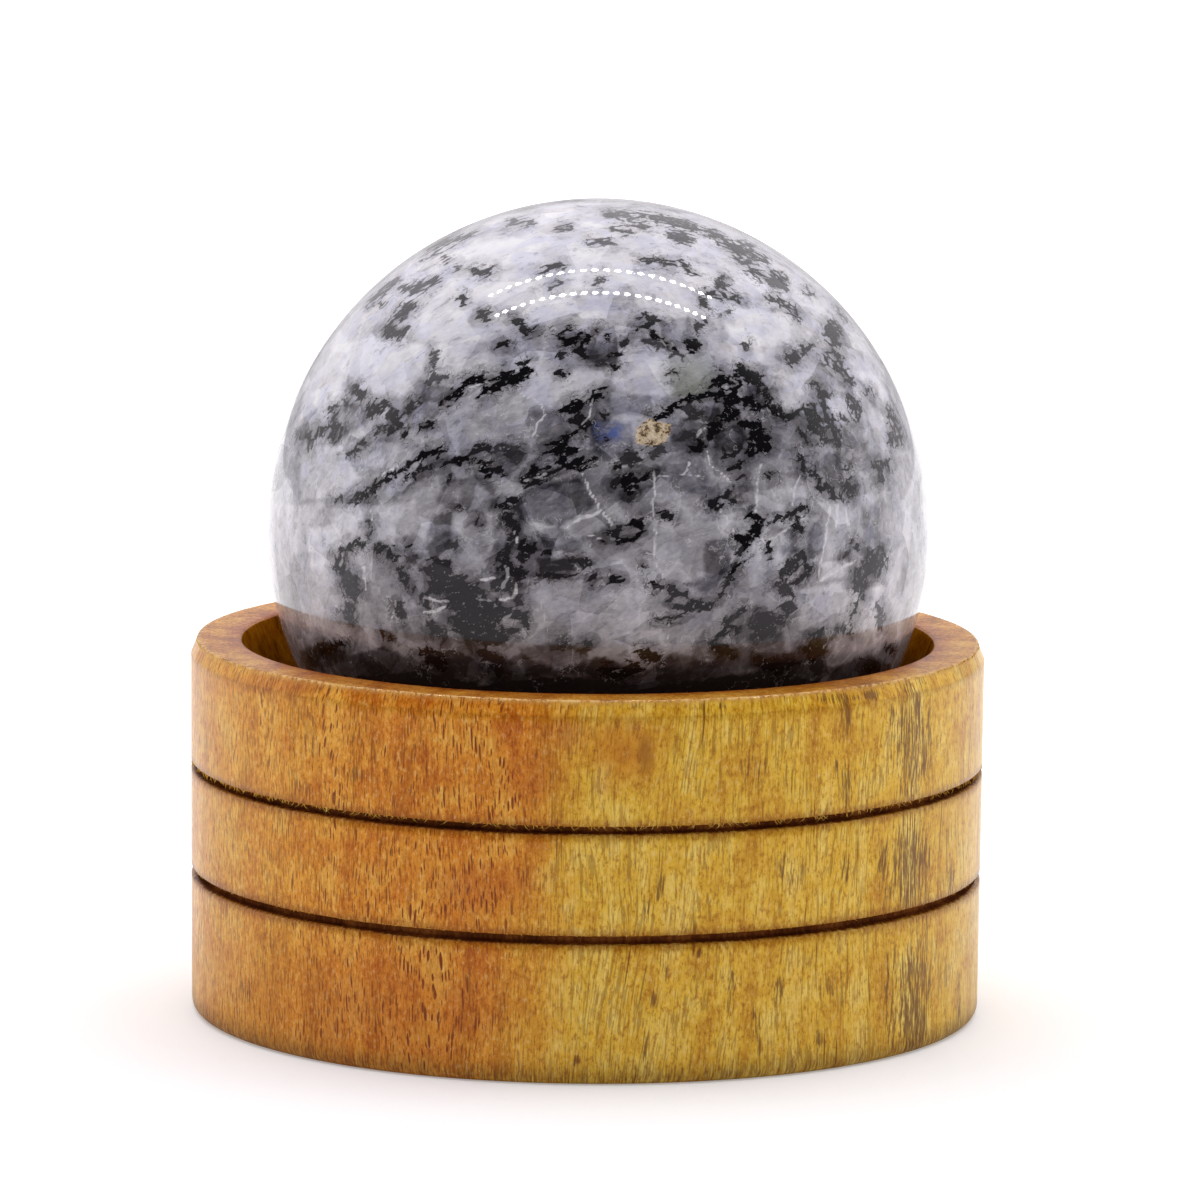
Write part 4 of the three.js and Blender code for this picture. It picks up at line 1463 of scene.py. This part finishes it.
def floor_material():
    """White, with a glow that grows away from the stand. Mirrored by the ball, it glows behind the
    stand, and is grey in front of it."""
    material, g, surface = new_material("white_floor")
    place = g.place()
    distance = g.vector("LENGTH", place, (0.0, 0.0, 0.0))
    behind = g.math("DIVIDE", g.split(place)["Y"], g.math("MAXIMUM", distance, 0.03))
    mirrored = g.node("ShaderNodeLightPath").outputs["Is Glossy Ray"]
    glow = g.span(g.step(distance, *FLOOR_BRIGHTENS), SHARE, *FLOOR_GLOW)
    shine = g.add(g.times(g.step(behind, 0.3, 0.8), 0.5), g.times(g.step(behind, -0.3, 0.1), 0.12))
    glow = g.add(glow, g.times(mirrored, g.math("SUBTRACT", shine, glow)))
    shaded = g.times(mirrored, g.step(behind, 0.1, -0.3))
    g.put(g.mix(shaded, FLOOR_WHITE, FLOOR_GREY), surface["Base Color"])
    g.put(glow, surface["Emission Strength"])
    surface["Emission Color"].default_value = FLOOR_GLOW_COLOUR
    surface["Roughness"].default_value = 0.9
    surface["Specular IOR Level"].default_value = 0.1
    material.cycles.emission_sampling = "NONE"
    return material


def floor():
    """A white table top, whose front edge lies below the view."""
    corners = np.array([
        (-FLOOR_HALF_WIDTH, FLOOR_FRONT, FLOOR_HEIGHT), (FLOOR_HALF_WIDTH, FLOOR_FRONT, FLOOR_HEIGHT),
        (FLOOR_HALF_WIDTH, FLOOR_BACK, FLOOR_HEIGHT), (-FLOOR_HALF_WIDTH, FLOOR_BACK, FLOOR_HEIGHT),
    ])
    made = make_mesh("floor", corners, [(0, 1, 2, 3)], {})
    made.data.materials.append(floor_material())


# The world's brightness by direction: the first number holds towards the camera's side, the
# second to the sides and overhead, and the last straight behind the object.
WORLD_FOR_LIGHT = (0.12, 0.9, 1.0)
WORLD_IN_REFLECTIONS = (0.06, 1.0, 0.75)
SOFT_TOP_LIGHT = 1.5
BACKDROP = 1.1
WORLD_COLOUR = (1.0, 0.975, 1.0, 1.0)

# Two straight rows of small bright lamps overhead, mirrored by the ball as two dotted arcs.
# Their places are in heights above the ball: how far behind it, and how far to either side.
LAMP_ROWS = (0.137, 0.353)
LAMP_HALF_ROW = 0.5
LAMP_SPACING = 0.0465
LAMP_RADIUS = 0.0145
LAMP_BRIGHTNESS = 85.0


def lamp_rows(w, across, behind, above):
    """The lamps' brightness in a direction: 0 between them."""
    height = w.math("MAXIMUM", above, 0.05)
    lamp_x = w.math("DIVIDE", across, height)
    lamp_y = w.math("DIVIDE", behind, height)
    off_x = w.math("SUBTRACT", w.math("FRACT", w.math("DIVIDE", lamp_x, LAMP_SPACING)), 0.5)
    off_x = w.times(off_x, LAMP_SPACING)
    off_y = w.math("MINIMUM", *[w.math("ABSOLUTE", w.math("SUBTRACT", lamp_y, row)) for row in LAMP_ROWS])
    off = w.math("SQRT", w.add(w.math("POWER", off_x, 2.0), w.math("POWER", off_y, 2.0)))
    lamp = w.step(off, LAMP_RADIUS, 0.8 * LAMP_RADIUS, 0.0, LAMP_BRIGHTNESS)
    lamp = w.times(lamp, w.math("LESS_THAN", w.math("ABSOLUTE", lamp_x), LAMP_HALF_ROW))
    return w.times(lamp, w.math("GREATER_THAN", above, 0.2))


def studio_world():
    """White behind, beside and above, dark on the camera's side, with the lamps in reflections
    alone, and plain white where the camera looks."""
    world = bpy.data.worlds.new("studio")
    bpy.context.scene.world = world
    world.use_nodes = True
    world.node_tree.nodes.clear()
    w = Nodes(world.node_tree)
    across, behind, above = w.split(w.node("ShaderNodeTexCoord").outputs["Generated"])

    # Directions are told apart by how much of a unit direction points up or to the back.
    def brightness(front, side, back):
        low = w.step(above, 0.65, 0.15)
        extra = w.times(low, w.step(behind, 0.3, 0.8, 0.0, back - side))
        return w.add(w.step(behind, -0.2, 0.14, front, side), extra)

    path = w.node("ShaderNodeLightPath").outputs
    mirrored = w.add(brightness(*WORLD_IN_REFLECTIONS), lamp_rows(w, across, behind, above))
    shed = w.add(brightness(*WORLD_FOR_LIGHT), w.step(above, 0.6, 0.95, 0.0, SOFT_TOP_LIGHT))
    level = w.choose(path["Is Glossy Ray"], shed, mirrored)
    level = w.choose(path["Is Camera Ray"], level, BACKDROP)
    light = w.node("ShaderNodeBackground", None, Color=WORLD_COLOUR, Strength=level)
    w.node("ShaderNodeOutputWorld", None, Surface=light.outputs[0])
    world.cycles.sampling_method = "NONE"


def camera():
    """The photograph's camera."""
    data = bpy.data.cameras.new("photo_camera")
    data.sensor_width = SENSOR_WIDTH
    data.lens = SENSOR_WIDTH * FOCAL_LENGTH_PX / PHOTO_SIDE_PX
    made = bpy.data.objects.new("photo_camera", data)
    turned = Matrix((RIGHT, UP, BACK)).transposed().to_4x4()
    made.matrix_world = Matrix.Translation(CAMERA_PLACE) @ turned
    bpy.context.scene.collection.objects.link(made)
    bpy.context.scene.camera = made


camera()
studio_world()
floor()
stone_ball()
wooden_stand()
bpy.context.scene.view_settings.view_transform = "Standard"
bpy.context.scene.cycles.max_bounces = 3
bpy.context.scene.cycles.diffuse_bounces = 2
